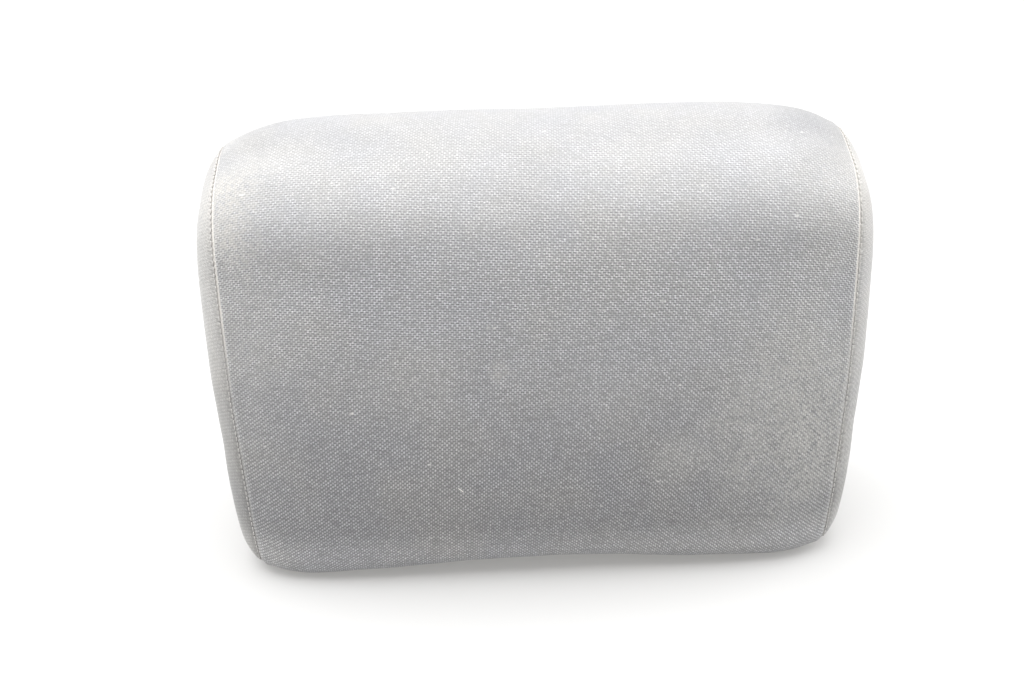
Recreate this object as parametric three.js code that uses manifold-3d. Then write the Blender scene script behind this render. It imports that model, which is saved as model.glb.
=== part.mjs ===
// Car headrest pad that slides down onto two seat posts.
// A sewn woven cover stands over a moulded foam core. Inside, a two-piece ribbed
// carrier holds two post guides with their detent springs, and a base plate closes
// the underside. Millimetres, +Z up, +X to the right seen from the front, front at -Y.
// The origin is the middle of the footprint, on the surface that the pad stands on.

import * as THREE from "three";
import { ParametricGeometry } from "three/addons/geometries/ParametricGeometry.js";
import { mergeVertices } from "three/addons/utils/BufferGeometryUtils.js";
import Module from "manifold-3d";

const wasm = await Module();
wasm.setup();

// Pad outside
const padWidth = 252;
const padDepth = 96;
const padHeight = 178;
const baseNarrowing = 3.6; // how much less wide the pad is at its base
const waistHeight = 87; // widest here, and the ends round off around this height

// Side outline, walked from the underside round the front, the top and the back
const baseCornerRadius = 14;
const frontTuckRadius = 133;
const frontTuckTurn = 12;
const frontLeanRadius = 430;
const frontLeanTurn = 10.8;
const browRadius = 33;
const crownSlope = 14;
const shoulderRadius = 42;

// How squarely each direction rounds off into the pad's ends
const endSquareness = 5.2;
const topSquareness = 6.9;
const baseSquareness = 12;

// Underside: an arch between the lower corners, small flats, a recess for the plate
const archRise = 6;
const archHalfSpan = 0.75; // as a share of the pad's half width
const archFade = 60; // the arch has faded out at this height
const footFlat = 1.2; // how far the lower corners are pressed flat
const recessHeight = 7;

// Cover
const coverThickness = 3;
const gussetReach = 10; // from the seam out to the pad's widest side
const seamGrooveDepth = 1;
const seamGrooveHalfWidth = 1.6;
const openingCorner = 3; // of the hole underneath that the carrier comes through
const middleRings = 7; // rings of corners between the middle and a seam
const endRings = 4; // and between a seam and the tip of the end
const furthestSeam = 0.985; // a seam's ring stays this share of the way to the tip
const furthestRing = 0.995; // and so does the ring beyond it

// Clearances
const gap = 0.3; // between pieces that touch on the real pad
const slideFit = 0.4; // round a post in its guide
const wallRoot = 0.5; // how far a fitting reaches into the wall it stands on
const cutReach = 1; // how far a cut runs past the face it opens

// Facets
const arcFacets = 3; // of a quarter circle in an outline
const tubeFacets = 20; // round a post
const screwFacets = 12; // round a screw's hole
const headFacets = 10; // round a screw's own shank and head
const counterboreFacets = 16;

// Posts that the pad takes (they stay in the seat)
const postDiameter = 10;
const postSpacing = 150;
const postSetback = 3; // behind the middle of the pad

// Carrier
const carrierWidth = 190;
const carrierTop = 128;
const carrierDepth = 26;
const carrierCorner = 14;
const carrierWall = 2.5;
const carrierFloor = 3; // wall that faces the base plate
const ribThickness = 2;
const ribOffset = 13; // rib centre from the post centre
const saddleThickness = 6;
const saddleHeights = [26, 58, 112];
const windowCorner = 6;
const windowMargin = 9;

// Hook rails on the carrier and the strips on the cover's lower edges
const railReach = 5;
const railHeight = 16;
const railLip = 4;
const railThickness = 1.5;
const railLength = 174;
const stripThickness = 1.5;
const stripFoot = 8;
const stripLength = 168;

// Base plate
const plateThickness = 3.4;
const plateOverlap = 6; // past the cover's opening all round
const plateCorner = 12;
const plateGrooveDepth = 0.9; // border groove on the underside
const plateGrooveWidth = 3; // also its distance from the edge

// Post guides, sleeves and springs
const guideWall = 1.5;
const sleeveWall = 2;
const sleeveFlange = 26;
const sleeveFlangeThickness = 1.5;
const sleeveTop = 18;
const leadIn = 1;
const springThickness = 0.8;
const springWidth = 8;
const detentHeight = 85;
const detentHalfHeight = 3;
const detentRamp = 5;
const detentBite = 0.3; // how far the detent stands into the bore
const detentWindow = 10;

// Screws
const screwShank = 3.2;
const screwHead = 7.6;
const screwHeadHeight = 2.2;
const screwHeadFlat = 0.7; // the head's flat, as a share of its radius
const screwHeadSide = 0.55; // its straight side, as a share of its height
const screwRecess = 1.2;
const screwRecessReach = 0.55; // as a share of the head's radius
const screwRecessHalfWidth = 0.6;
const bossWall = 2.4;
const carrierBossWall = 3.2; // round the screws that join the halves
const counterbore = 1.6;
const baseScrewLength = 15;
const baseScrewX = 45;
const baseScrewY = 7;
const carrierScrewX = 45;
const carrierScrewHeights = [36, 114];

// Colour, roughness and metalness of each finish
const finishes = {
  cover: [0xa2a2a4, 0.95, 0],
  gusset: [0xa8a6a4, 0.95, 0],
  foam: [0xd9cfa8, 1, 0],
  black: [0x1d1d1f, 0.6, 0],
  strip: [0xd8d8d4, 0.5, 0],
  sleeve: [0x26262a, 0.35, 0],
  steel: [0xa9abad, 0.35, 1],
  spring: [0x8b9097, 0.3, 1],
  zinc: [0xb8b49a, 0.35, 1],
};

// Places worked out from the sizes above
const halfWidth = padWidth / 2;
const halfDepth = padDepth / 2;
const seamX = halfWidth - gussetReach;
const postX = postSpacing / 2;
const plateTop = recessHeight - gap;
const plateBottom = plateTop - plateThickness;
const carrierBottom = plateTop + gap;
const carrierFront = postSetback - carrierDepth / 2;
const carrierBack = postSetback + carrierDepth / 2;
const boreRadius = postDiameter / 2 + slideFit;
const guideRadius = boreRadius + guideWall;
const sleeveRadius = boreRadius + sleeveWall;
const pilotRadius = screwShank / 2 + gap;
const bossRadius = pilotRadius + bossWall;
const carrierBossRadius = pilotRadius + carrierBossWall;
const stripOuter = railReach + gap + stripThickness; // out from the carrier's face
const openingHalfWidth = carrierWidth / 2 + gap;
const openingHalfDepth = carrierDepth / 2 + stripOuter + gap;
const plateHalfWidth = openingHalfWidth + plateOverlap;
const plateHalfDepth = openingHalfDepth + plateOverlap;

// Solid helpers

// A closed geometry becomes a solid once its shared corners are merged.
function solid(geometry) {
  const bare = geometry.clone();
  bare.deleteAttribute("normal");
  bare.deleteAttribute("uv");
  const merged = mergeVertices(bare, 1e-4);
  const corners = merged.index.array;
  const kept = [];
  for (let i = 0; i < corners.length; i += 3) {
    const [a, b, c] = corners.subarray(i, i + 3);
    if (a !== b && b !== c && c !== a) kept.push(a, b, c);
  }
  const mesh = new wasm.Mesh({
    numProp: 3,
    vertProperties: new Float32Array(merged.attributes.position.array),
    triVerts: new Uint32Array(kept),
  });
  return new wasm.Manifold(mesh);
}

function joined(solids) {
  return solids.reduce((all, next) => all.add(next));
}

function cut(body, tools) {
  return tools.reduce((rest, tool) => rest.subtract(tool), body);
}

// A block between two opposite corners.
function block([x0, y0, z0], [x1, y1, z1]) {
  const geometry = new THREE.BoxGeometry(x1 - x0, y1 - y0, z1 - z0);
  geometry.translate((x0 + x1) / 2, (y0 + y1) / 2, (z0 + z1) / 2);
  return solid(geometry);
}

// A rectangle with round corners, centred on (x, y).
function roundedRectangle(halfX, halfY, radius, x = 0, y = 0) {
  const shape = new THREE.Shape();
  const r = Math.min(radius, halfX - 0.1, halfY - 0.1);
  shape.absarc(x + halfX - r, y + halfY - r, r, 0, Math.PI / 2);
  shape.absarc(x - halfX + r, y + halfY - r, r, Math.PI / 2, Math.PI);
  shape.absarc(x - halfX + r, y - halfY + r, r, Math.PI, Math.PI * 1.5);
  shape.absarc(x + halfX - r, y - halfY + r, r, Math.PI * 1.5, Math.PI * 2);
  return shape;
}

function extruded(shape, depth) {
  return new THREE.ExtrudeGeometry(shape, { depth, bevelEnabled: false, curveSegments: arcFacets });
}

// A plan outline raised from one height to another.
function upright(shape, z0, z1) {
  return solid(extruded(shape, z1 - z0).translate(0, 0, z0));
}

// A front-view outline in X and Z, carried from one depth to another.
function frontToBack(shape, y0, y1) {
  return solid(extruded(shape, y1 - y0).rotateX(Math.PI / 2).translate(0, y1, 0));
}

// A side-view outline in Y and Z, carried across the middle.
function sideways(shape, length) {
  const geometry = extruded(shape, length).translate(0, 0, -length / 2);
  geometry.applyMatrix4(new THREE.Matrix4().set(0, 0, 1, 0, 1, 0, 0, 0, 0, 1, 0, 0, 0, 0, 0, 1));
  return solid(geometry);
}

function polygon(points) {
  return new THREE.Shape(points.map(([x, y]) => new THREE.Vector2(x, y)));
}

// A profile of [radius, height] points turned about an upright axis.
function turned(profile, sides) {
  const points = profile.map(([r, z]) => new THREE.Vector2(r, z));
  return new THREE.LatheGeometry(points, sides).rotateX(Math.PI / 2);
}

function rod(radius, z0, z1, x = 0, y = 0, sides = screwFacets) {
  const profile = [[0, z0], [radius, z0], [radius, z1], [0, z1]];
  return solid(turned(profile, sides).translate(x, y, 0));
}

// A rod that lies front to back.
function crossRod(radius, y0, y1, x, z, sides = screwFacets) {
  const profile = [[0, y0], [radius, y0], [radius, y1], [0, y1]];
  return solid(turned(profile, sides).rotateX(-Math.PI / 2).translate(x, 0, z));
}

const model = new THREE.Group();

function addPiece(name, body, finish) {
  const { vertProperties, triVerts } = body.getMesh();
  const geometry = new THREE.BufferGeometry();
  geometry.setAttribute("position", new THREE.BufferAttribute(new Float32Array(vertProperties), 3));
  geometry.setIndex(new THREE.BufferAttribute(new Uint32Array(triVerts), 1));
  geometry.computeVertexNormals();
  const [color, roughness, metalness] = finishes[finish];
  const material = new THREE.MeshStandardMaterial({ color, roughness, metalness });
  const mesh = new THREE.Mesh(geometry, material);
  mesh.name = name;
  model.add(mesh);
}

// Pad form

// Walks the side outline as tangent arcs and straights, turning right all the way.
// Each sample is a point on the outline with its outward direction.
function sideOutline() {
  const degrees = Math.PI / 180;
  const cosine = (angle) => Math.cos(angle * degrees);
  const sine = (angle) => Math.sin(angle * degrees);
  const lean = 90 - frontLeanTurn;
  const tuck = 90 + frontTuckTurn;
  const leanDepth = frontLeanRadius * (1 - sine(lean));
  const browDepth = browRadius * (sine(lean) - sine(crownSlope));
  const shoulderDepth = shoulderRadius * (sine(crownSlope) + 1);
  const crownRun = (padDepth - leanDepth - browDepth - shoulderDepth) / cosine(crownSlope);
  const cornerHeight = baseCornerRadius * (cosine(tuck) + 1);
  const tuckHeight = -frontTuckRadius * cosine(tuck);
  const leanHeight = frontLeanRadius * cosine(lean);
  const browHeight = browRadius * (cosine(crownSlope) - cosine(lean));
  const crownHeight = crownRun * sine(crownSlope);
  const shoulderHeight = shoulderRadius * (1 - cosine(crownSlope));
  const curvedHeight = cornerHeight + tuckHeight + leanHeight + browHeight + shoulderHeight;
  const fullHeight = padHeight + footFlat;
  const frontRise = fullHeight - curvedHeight - crownHeight;
  const backDrop = fullHeight - shoulderRadius - baseCornerRadius;
  const tuckDepth = frontTuckRadius * (1 - sine(tuck));
  const frontCornerDepth = baseCornerRadius * sine(tuck);
  const baseRun = padDepth - baseCornerRadius - tuckDepth - frontCornerDepth;
  const legs = [
    { radius: baseCornerRadius, turn: 90 - frontTuckTurn, facets: 4 },
    { radius: frontTuckRadius, turn: frontTuckTurn, facets: 2 },
    { run: frontRise, facets: 2 },
    { radius: frontLeanRadius, turn: frontLeanTurn, facets: 5 },
    { radius: browRadius, turn: lean - crownSlope, facets: 6 },
    { run: crownRun, facets: 1 },
    { radius: shoulderRadius, turn: 90 + crownSlope, facets: 9 },
    { run: backDrop, facets: 4 },
    { radius: baseCornerRadius, turn: 90, facets: 4 },
    { run: baseRun, facets: 3 },
  ];
  const place = new THREE.Vector2(-halfDepth + tuckDepth + frontCornerDepth, 0);
  let heading = 180;
  const samples = [];
  for (const { radius, turn, run, facets } of legs) {
    for (let step = 0; step < facets; step += 1) {
      samples.push({
        y: place.x,
        z: place.y,
        outY: -sine(heading),
        outZ: cosine(heading),
      });
      if (radius) {
        const next = heading - turn / facets;
        place.x += radius * (sine(heading) - sine(next));
        place.y += radius * (cosine(next) - cosine(heading));
        heading = next;
      } else {
        place.x += (run / facets) * cosine(heading);
        place.y += (run / facets) * sine(heading);
      }
    }
  }
  return samples;
}

// Shares of the half width at which the pad has a ring of corners, from right to left.
// A seam lies on a ring of its own, with a ring close by on each side of it.
function acrossRings(reach) {
  const seamShare = Math.min(seamX / reach, furthestSeam);
  const grooveShare = seamGrooveHalfWidth / reach;
  const rounded = (share) => (1 - share ** endSquareness) ** (1 / endSquareness);
  const angleOf = (share) => Math.atan2(share, rounded(share));
  const shareOf = (angle) => {
    const size = (Math.cos(angle) ** endSquareness + Math.sin(angle) ** endSquareness);
    return Math.sin(angle) * size ** (-1 / endSquareness);
  };
  const inner = angleOf(seamShare - grooveShare);
  const outer = angleOf(Math.min(seamShare + grooveShare, furthestRing));
  const half = [];
  for (let i = 1; i <= middleRings; i += 1) half.push(shareOf((inner * i) / middleRings));
  half.push(seamShare);
  for (let i = 0; i < endRings; i += 1) {
    half.push(shareOf(outer + ((Math.PI / 2 - outer) * i) / endRings));
  }
  half.push(1);
  return [...[...half].reverse(), 0, ...half.map((share) => -share)];
}

// The pad's form, set in from its outside by the given depth.
function padForm(inset, groove = 0) {
  const samples = sideOutline();
  const reach = halfWidth - inset;
  const rings = acrossRings(reach);
  const shrink = (share, squareness) => (1 - share ** squareness) ** (1 / squareness);
  function point(u, v, target) {
    const sample = samples[Math.round(u * samples.length) % samples.length];
    const across = rings[Math.round(v * (rings.length - 1))];
    const share = Math.abs(across);
    const onSeam = Math.abs(share * reach - seamX) < 1e-6;
    const depth = inset + (onSeam ? groove : 0);
    const y = sample.y - sample.outY * depth;
    const z = sample.z - sample.outZ * depth;
    const squareness = z > waistHeight ? topSquareness : baseSquareness;
    const rounded = waistHeight + (z - waistHeight) * shrink(share, squareness);
    const narrowing = (baseNarrowing / 2) * Math.max(0, 1 - rounded / waistHeight);
    const fade = Math.min(1, Math.max(0, (archFade - z) / archFade)) ** 2;
    const span = Math.max(0, 1 - (share / archHalfSpan) ** 2);
    target.set(
      across * (reach - narrowing),
      y * shrink(share, endSquareness),
      rounded + archRise * fade * span - footFlat,
    );
  }
  const form = solid(new ParametricGeometry(point, samples.length, rings.length - 1));
  const floor = block([-padWidth, -padDepth, inset], [padWidth, padDepth, padHeight * 2]);
  return form.intersect(floor);
}

// The underside recess that takes the base plate, grown by the given depth.
function recessForm(growth) {
  const halfX = plateHalfWidth + gap + growth;
  const halfY = plateHalfDepth + gap + growth;
  const outline = roundedRectangle(halfX, halfY, plateCorner + gap + growth, 0, postSetback);
  return upright(outline, -padHeight, recessHeight + growth);
}

function coverOpening() {
  const outline = roundedRectangle(
    openingHalfWidth, openingHalfDepth, openingCorner, 0, postSetback);
  return upright(outline, 0, recessHeight + coverThickness + cutReach);
}

// The cover is one sewn shell: a main panel over front, top and back, and a gusset
// panel at each end, parted by the seams.
function makeCover() {
  const outside = padForm(0, seamGrooveDepth).subtract(recessForm(0));
  const inside = padForm(coverThickness).subtract(recessForm(coverThickness));
  const shell = cut(outside, [inside, coverOpening()]);
  const seam = seamX - gap / 2;
  const tall = padHeight * 2;
  const middle = block([-seam, -tall, -tall], [seam, tall, tall]);
  addPiece("main_panel", shell.intersect(middle), "cover");
  for (const [side, sign] of [["left", -1], ["right", 1]]) {
    const near = sign * (seam + gap);
    const far = sign * padWidth;
    const end = block([Math.min(near, far), -tall, -tall], [Math.max(near, far), tall, tall]);
    addPiece(`${side}_side_panel`, shell.intersect(end), "gusset");
  }
}

// Foam core

function carrierOutline(growth) {
  const halfHeight = (carrierTop - carrierBottom) / 2 + growth;
  const middle = (carrierTop + carrierBottom) / 2;
  const halfX = carrierWidth / 2 + growth;
  return roundedRectangle(halfX, halfHeight, carrierCorner + growth, 0, middle);
}

function makeFoamCore() {
  const foam = padForm(coverThickness + gap).subtract(recessForm(coverThickness + gap));
  const pocket = frontToBack(carrierOutline(gap), carrierFront - gap, carrierBack + gap);
  const mouthHalfDepth = carrierDepth / 2 + stripOuter + stripFoot + gap;
  const mouthTop = railHeight + railLip + 2 * gap + stripThickness;
  const mouth = block(
    [-railLength / 2 - gap, postSetback - mouthHalfDepth, 0],
    [railLength / 2 + gap, postSetback + mouthHalfDepth, mouthTop],
  );
  const throat = block(
    [-openingHalfWidth, carrierFront - gap, 0],
    [openingHalfWidth, carrierBack + gap, (carrierBottom + carrierTop) / 2],
  );
  addPiece("foam_core", cut(foam, [pocket, mouth, throat]), "foam");
}

// Carrier

// Front or rear half: a tray with ribs, guide saddles, screw bosses, lightening
// windows and a hook rail along its lower edge. Sign is -1 for the front half.
function makeCarrierHalf(name, sign) {
  const outer = postSetback + sign * carrierDepth / 2;
  const parting = postSetback + sign * gap / 2;
  const inside = outer - sign * carrierWall;
  const span = (a, b) => [Math.min(a, b), Math.max(a, b)];
  const [bodyLow, bodyHigh] = span(outer, parting);
  const [hollowLow, hollowHigh] = span(inside, parting - sign * cutReach);
  const [ribLow, ribHigh] = span(inside + sign * wallRoot, parting);
  const body = frontToBack(carrierOutline(0), bodyLow, bodyHigh);
  const hollowHalf = (carrierTop - carrierWall - carrierBottom - carrierFloor) / 2;
  const hollowMiddle = (carrierTop - carrierWall + carrierBottom + carrierFloor) / 2;
  const hollowOutline = roundedRectangle(
    carrierWidth / 2 - carrierWall, hollowHalf, carrierCorner - carrierWall, 0, hollowMiddle);
  const tray = body.subtract(frontToBack(hollowOutline, hollowLow, hollowHigh));

  const fittings = [];
  for (const side of [-1, 1]) {
    for (const offset of [-ribOffset, ribOffset]) {
      const x = side * postX + offset;
      fittings.push(block(
        [x - ribThickness / 2, ribLow, carrierBottom + carrierFloor - wallRoot],
        [x + ribThickness / 2, ribHigh, carrierTop - carrierWall + wallRoot],
      ));
    }
    for (const height of saddleHeights) {
      fittings.push(block(
        [side * postX - ribOffset, ribLow, height - saddleThickness / 2],
        [side * postX + ribOffset, ribHigh, height + saddleThickness / 2],
      ));
    }
    const bossTop = carrierBottom + baseScrewLength;
    const bossY = postSetback + sign * baseScrewY;
    fittings.push(rod(bossRadius, carrierBottom + wallRoot, bossTop, side * baseScrewX, bossY));
    for (const height of carrierScrewHeights) {
      fittings.push(crossRod(carrierBossRadius, ribLow, ribHigh, side * carrierScrewX, height));
    }
  }
  const [railLow, railHigh] = span(outer - sign * wallRoot, outer + sign * railReach);
  const lip = outer + sign * (railReach - railThickness);
  const [lipLow, lipHigh] = span(lip, outer + sign * railReach);
  const railHalf = railLength / 2;
  const railBottom = railHeight - railThickness;
  const rail = [
    block([-railHalf, railLow, railBottom], [railHalf, railHigh, railHeight]),
    block([-railHalf, lipLow, railBottom], [railHalf, lipHigh, railHeight + railLip]),
  ];

  const cuts = [];
  for (const side of [-1, 1]) {
    const bore = guideRadius + gap;
    const sleeveBore = sleeveRadius + gap;
    cuts.push(rod(
      bore, sleeveTop, carrierTop - carrierWall, side * postX, postSetback, tubeFacets));
    cuts.push(rod(
      sleeveBore, carrierBottom - cutReach, sleeveTop + gap, side * postX, postSetback, tubeFacets));
    const bossY = postSetback + sign * baseScrewY;
    const pilotTop = carrierBottom + baseScrewLength - bossWall;
    cuts.push(rod(pilotRadius, carrierBottom - cutReach, pilotTop, side * baseScrewX, bossY));
    const springLow = side * (postX - ribOffset + ribThickness / 2);
    const springHigh = side * (postX - guideRadius + cutReach);
    const [slotLow, slotHigh] = span(springLow, springHigh);
    cuts.push(block(
      [slotLow, postSetback - springWidth / 2 - gap, saddleHeights[1] + saddleThickness / 2],
      [slotHigh, postSetback + springWidth / 2 + gap, saddleHeights[2] - saddleThickness / 2],
    ));
    for (const height of carrierScrewHeights) {
      const x = side * carrierScrewX;
      if (sign > 0) {
        cuts.push(crossRod(pilotRadius, parting - cutReach, outer + cutReach, x, height));
        const seat = outer - carrierWall - counterbore;
        cuts.push(crossRod(screwHead / 2 + gap, seat, outer + cutReach, x, height));
      } else {
        cuts.push(crossRod(pilotRadius, outer + carrierWall, parting + cutReach, x, height));
      }
    }
  }
  cuts.push(...carrierWindows(bodyLow - cutReach, bodyHigh + cutReach, inside, sign));
  const half = joined([tray, joined(fittings).intersect(body), ...rail]);
  addPiece(name, cut(half, cuts), "black");
}

// Three lightening windows through the tray's face between the guides.
function carrierWindows(low, high, inside, sign) {
  const innerRib = postX - ribOffset - ribThickness / 2;
  const clearOfScrews = carrierScrewX - bossRadius - windowMargin / 2;
  const bottom = railHeight + railLip + windowMargin;
  const top = carrierTop - carrierWall - windowMargin;
  const halfHeight = (top - bottom) / 2;
  const middle = (top + bottom) / 2;
  const windows = [];
  const count = 3;
  const pitch = (2 * clearOfScrews) / count;
  const [y0, y1] = sign < 0 ? [low, inside + gap] : [inside - gap, high];
  for (let i = 0; i < count; i += 1) {
    const x = -clearOfScrews + pitch * (i + 0.5);
    const halfX = Math.min(pitch / 2 - ribThickness, innerRib);
    const outline = roundedRectangle(halfX, halfHeight, windowCorner, x, middle);
    windows.push(frontToBack(outline, y0, y1));
  }
  return windows;
}

// Post guides and detent springs

function makePostGuide(name, side) {
  const bottom = sleeveTop + gap;
  const top = carrierTop - carrierWall - gap;
  const tube = solid(turned([
    [boreRadius + leadIn / 2, bottom],
    [guideRadius, bottom],
    [guideRadius, top],
    [boreRadius, top],
    [boreRadius, bottom + leadIn],
    [boreRadius + leadIn / 2, bottom],
  ], tubeFacets).translate(side * postX, postSetback, 0));
  const near = side * (postX - guideRadius - cutReach);
  const far = side * (postX - boreRadius / 2);
  const slot = block(
    [Math.min(near, far), postSetback - springWidth / 2 - gap, detentHeight - detentWindow],
    [Math.max(near, far), postSetback + springWidth / 2 + gap, detentHeight + detentWindow],
  );
  addPiece(name, tube.subtract(slot), "steel");
}

// A leaf between two saddles: its feet lie on the rib and its nose stands into the bore.
function makeDetentSpring(name, side) {
  const foot = postX - ribOffset + ribThickness / 2 + gap;
  const nose = postX - boreRadius + detentBite - springThickness;
  const low = saddleHeights[1] + saddleThickness / 2 + gap;
  const high = saddleHeights[2] - saddleThickness / 2 - gap;
  const rampLow = detentHeight - detentHalfHeight - detentRamp;
  const rampHigh = detentHeight + detentHalfHeight + detentRamp;
  const line = [
    [foot, low],
    [foot, rampLow],
    [nose, detentHeight - detentHalfHeight],
    [nose, detentHeight + detentHalfHeight],
    [foot, rampHigh],
    [foot, high],
  ];
  const outerLine = line.map(([x, z]) => [x + springThickness, z]).reverse();
  const outline = polygon([...line, ...outerLine].map(([x, z]) => [side * x, z]));
  const half = springWidth / 2;
  addPiece(name, frontToBack(outline, postSetback - half, postSetback + half), "spring");
}

// Closing strips: sewn by the foot to the cover, hooked over the carrier's rail.
function makeClosingStrip(name, sign) {
  const face = postSetback + sign * carrierDepth / 2;
  const out = (distance) => face + sign * distance;
  const inner = railReach + gap;
  const hookIn = railReach - railThickness - gap - stripThickness;
  const hookOut = railReach - railThickness - gap;
  const bottom = recessHeight + coverThickness + gap;
  const top = railHeight + railLip + gap + stripThickness;
  const outline = polygon([
    [out(stripOuter + stripFoot), bottom],
    [out(inner), bottom],
    [out(inner), top - stripThickness],
    [out(hookOut), top - stripThickness],
    [out(hookOut), railHeight + gap],
    [out(hookIn), railHeight + gap],
    [out(hookIn), top],
    [out(stripOuter), top],
    [out(stripOuter), bottom + stripThickness],
    [out(stripOuter + stripFoot), bottom + stripThickness],
  ]);
  addPiece(name, sideways(outline, stripLength), "strip");
}

// Base plate, sleeves and screws

function makeBasePlate() {
  const outline = roundedRectangle(plateHalfWidth, plateHalfDepth, plateCorner, 0, postSetback);
  const cuts = [];
  for (const side of [-1, 1]) {
    const hole = sleeveRadius + gap;
    cuts.push(rod(
      hole, plateBottom - cutReach, plateTop + cutReach, side * postX, postSetback, tubeFacets));
    for (const sign of [-1, 1]) {
      const y = postSetback + sign * baseScrewY;
      const x = side * baseScrewX;
      const seat = plateBottom + counterbore;
      const low = plateBottom - cutReach;
      cuts.push(rod(pilotRadius, low, plateTop + cutReach, x, y));
      cuts.push(rod(screwHead / 2 + gap, low, seat, x, y, counterboreFacets));
    }
  }
  // a shallow border groove on the underside
  const margin = plateOverlap + plateGrooveWidth;
  const grooveOuter = roundedRectangle(
    plateHalfWidth - plateGrooveWidth, plateHalfDepth - plateGrooveWidth,
    plateCorner - plateGrooveWidth, 0, postSetback);
  const grooveInner = roundedRectangle(
    plateHalfWidth - margin, plateHalfDepth - margin, plateCorner - margin / 2, 0, postSetback);
  const low = plateBottom - cutReach;
  const high = plateBottom + plateGrooveDepth;
  const island = upright(grooveInner, low - cutReach, high + cutReach);
  cuts.push(upright(grooveOuter, low, high).subtract(island));
  addPiece("base_plate", cut(upright(outline, plateBottom, plateTop), cuts), "black");
}

function makePostSleeve(name, side) {
  const flangeTop = plateBottom - gap;
  const flangeBottom = flangeTop - sleeveFlangeThickness;
  const profile = [
    [boreRadius + leadIn, flangeBottom],
    [sleeveFlange / 2, flangeBottom],
    [sleeveFlange / 2, flangeTop],
    [sleeveRadius, flangeTop],
    [sleeveRadius, sleeveTop],
    [boreRadius, sleeveTop],
    [boreRadius, flangeBottom + leadIn],
    [boreRadius + leadIn, flangeBottom],
  ];
  addPiece(name, solid(turned(profile, tubeFacets).translate(side * postX, postSetback, 0)), "sleeve");
}

// A pan-head screw with a cross recess, its head's seat at the origin, pointing up.
function screwBody(length) {
  const head = screwHead / 2;
  const tip = screwShank / 2;
  const body = solid(turned([
    [0, -screwHeadHeight],
    [head * screwHeadFlat, -screwHeadHeight],
    [head, -screwHeadHeight * screwHeadSide],
    [head, 0],
    [tip, 0],
    [tip, length - tip],
    [0, length],
  ], headFacets));
  const arm = head * screwRecessReach;
  const slot = screwRecessHalfWidth;
  const low = -screwHeadHeight - cutReach;
  const deep = -screwHeadHeight + screwRecess;
  return cut(body, [
    block([-arm, -slot, low], [arm, slot, deep]),
    block([-slot, -arm, low], [slot, arm, deep]),
  ]);
}

function makeBaseScrews() {
  const seat = plateBottom + counterbore - gap;
  const length = carrierBottom + baseScrewLength - bossWall - gap - seat;
  const body = screwBody(length);
  for (const [side, x] of [["left", -baseScrewX], ["right", baseScrewX]]) {
    for (const [end, sign] of [["front", -1], ["rear", 1]]) {
      const place = [x, postSetback + sign * baseScrewY, seat];
      addPiece(`base_screw_${side}_${end}`, body.translate(place), "zinc");
    }
  }
}

function makeCarrierScrews() {
  const seat = carrierBack - carrierWall - counterbore + gap;
  const length = seat - (carrierFront + carrierWall + gap);
  const body = screwBody(length).rotate([90, 0, 0]);
  for (const [side, x] of [["left", -carrierScrewX], ["right", carrierScrewX]]) {
    for (const [level, height] of [["low", carrierScrewHeights[0]], ["high", carrierScrewHeights[1]]]) {
      addPiece(`carrier_screw_${side}_${level}`, body.translate([x, seat, height]), "zinc");
    }
  }
}

makeCover();
makeFoamCore();
makeCarrierHalf("carrier_front_half", -1);
makeCarrierHalf("carrier_rear_half", 1);
for (const [side, sign] of [["left", -1], ["right", 1]]) {
  makePostGuide(`${side}_post_guide`, sign);
  makeDetentSpring(`${side}_detent_spring`, sign);
  makePostSleeve(`${side}_post_sleeve`, sign);
}
makeClosingStrip("front_closing_strip", -1);
makeClosingStrip("rear_closing_strip", 1);
makeBasePlate();
makeBaseScrews();
makeCarrierScrews();

export default model;
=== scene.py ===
# %% [markdown]
# A car headrest pad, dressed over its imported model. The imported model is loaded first
# and stays as it is: its hard inner pieces get finishes here, and the soft ones, which
# are the cover and the foam, are made again as fine surfaces in the same places.

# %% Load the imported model
import math
import bmesh
import bpy
import numpy as np
from mathutils import Matrix, Vector


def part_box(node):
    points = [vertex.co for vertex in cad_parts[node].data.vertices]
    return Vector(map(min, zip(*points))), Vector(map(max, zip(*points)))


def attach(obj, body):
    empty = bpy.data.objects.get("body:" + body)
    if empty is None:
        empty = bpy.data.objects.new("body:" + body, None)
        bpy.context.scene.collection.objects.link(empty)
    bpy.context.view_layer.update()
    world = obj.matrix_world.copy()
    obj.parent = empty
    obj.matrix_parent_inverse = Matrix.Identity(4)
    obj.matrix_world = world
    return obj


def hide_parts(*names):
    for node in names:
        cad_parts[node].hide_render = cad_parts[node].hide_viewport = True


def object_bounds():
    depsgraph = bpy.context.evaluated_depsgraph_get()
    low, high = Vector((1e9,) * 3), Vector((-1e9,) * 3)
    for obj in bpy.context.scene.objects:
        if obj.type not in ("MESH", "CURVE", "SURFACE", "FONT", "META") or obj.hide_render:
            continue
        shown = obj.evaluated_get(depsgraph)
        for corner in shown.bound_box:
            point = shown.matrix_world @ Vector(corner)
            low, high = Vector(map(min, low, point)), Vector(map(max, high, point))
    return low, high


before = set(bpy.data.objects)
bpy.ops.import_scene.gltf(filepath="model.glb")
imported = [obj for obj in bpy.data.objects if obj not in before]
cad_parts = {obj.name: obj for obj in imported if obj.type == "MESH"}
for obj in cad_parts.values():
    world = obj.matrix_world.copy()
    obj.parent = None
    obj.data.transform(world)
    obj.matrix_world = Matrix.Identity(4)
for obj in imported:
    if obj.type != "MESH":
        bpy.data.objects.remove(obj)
cad_low, cad_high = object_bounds()
print("pad box in mm", [round(1000 * v) for v in (*cad_low, *cad_high)])

# %% [markdown]
# Sizes are in millimetres, as on a drawing, and become metres only when a mesh is
# made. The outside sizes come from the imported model. The others are the pad maker's
# own sizes: radii of the side outline, and how squarely the ends round off.

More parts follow.
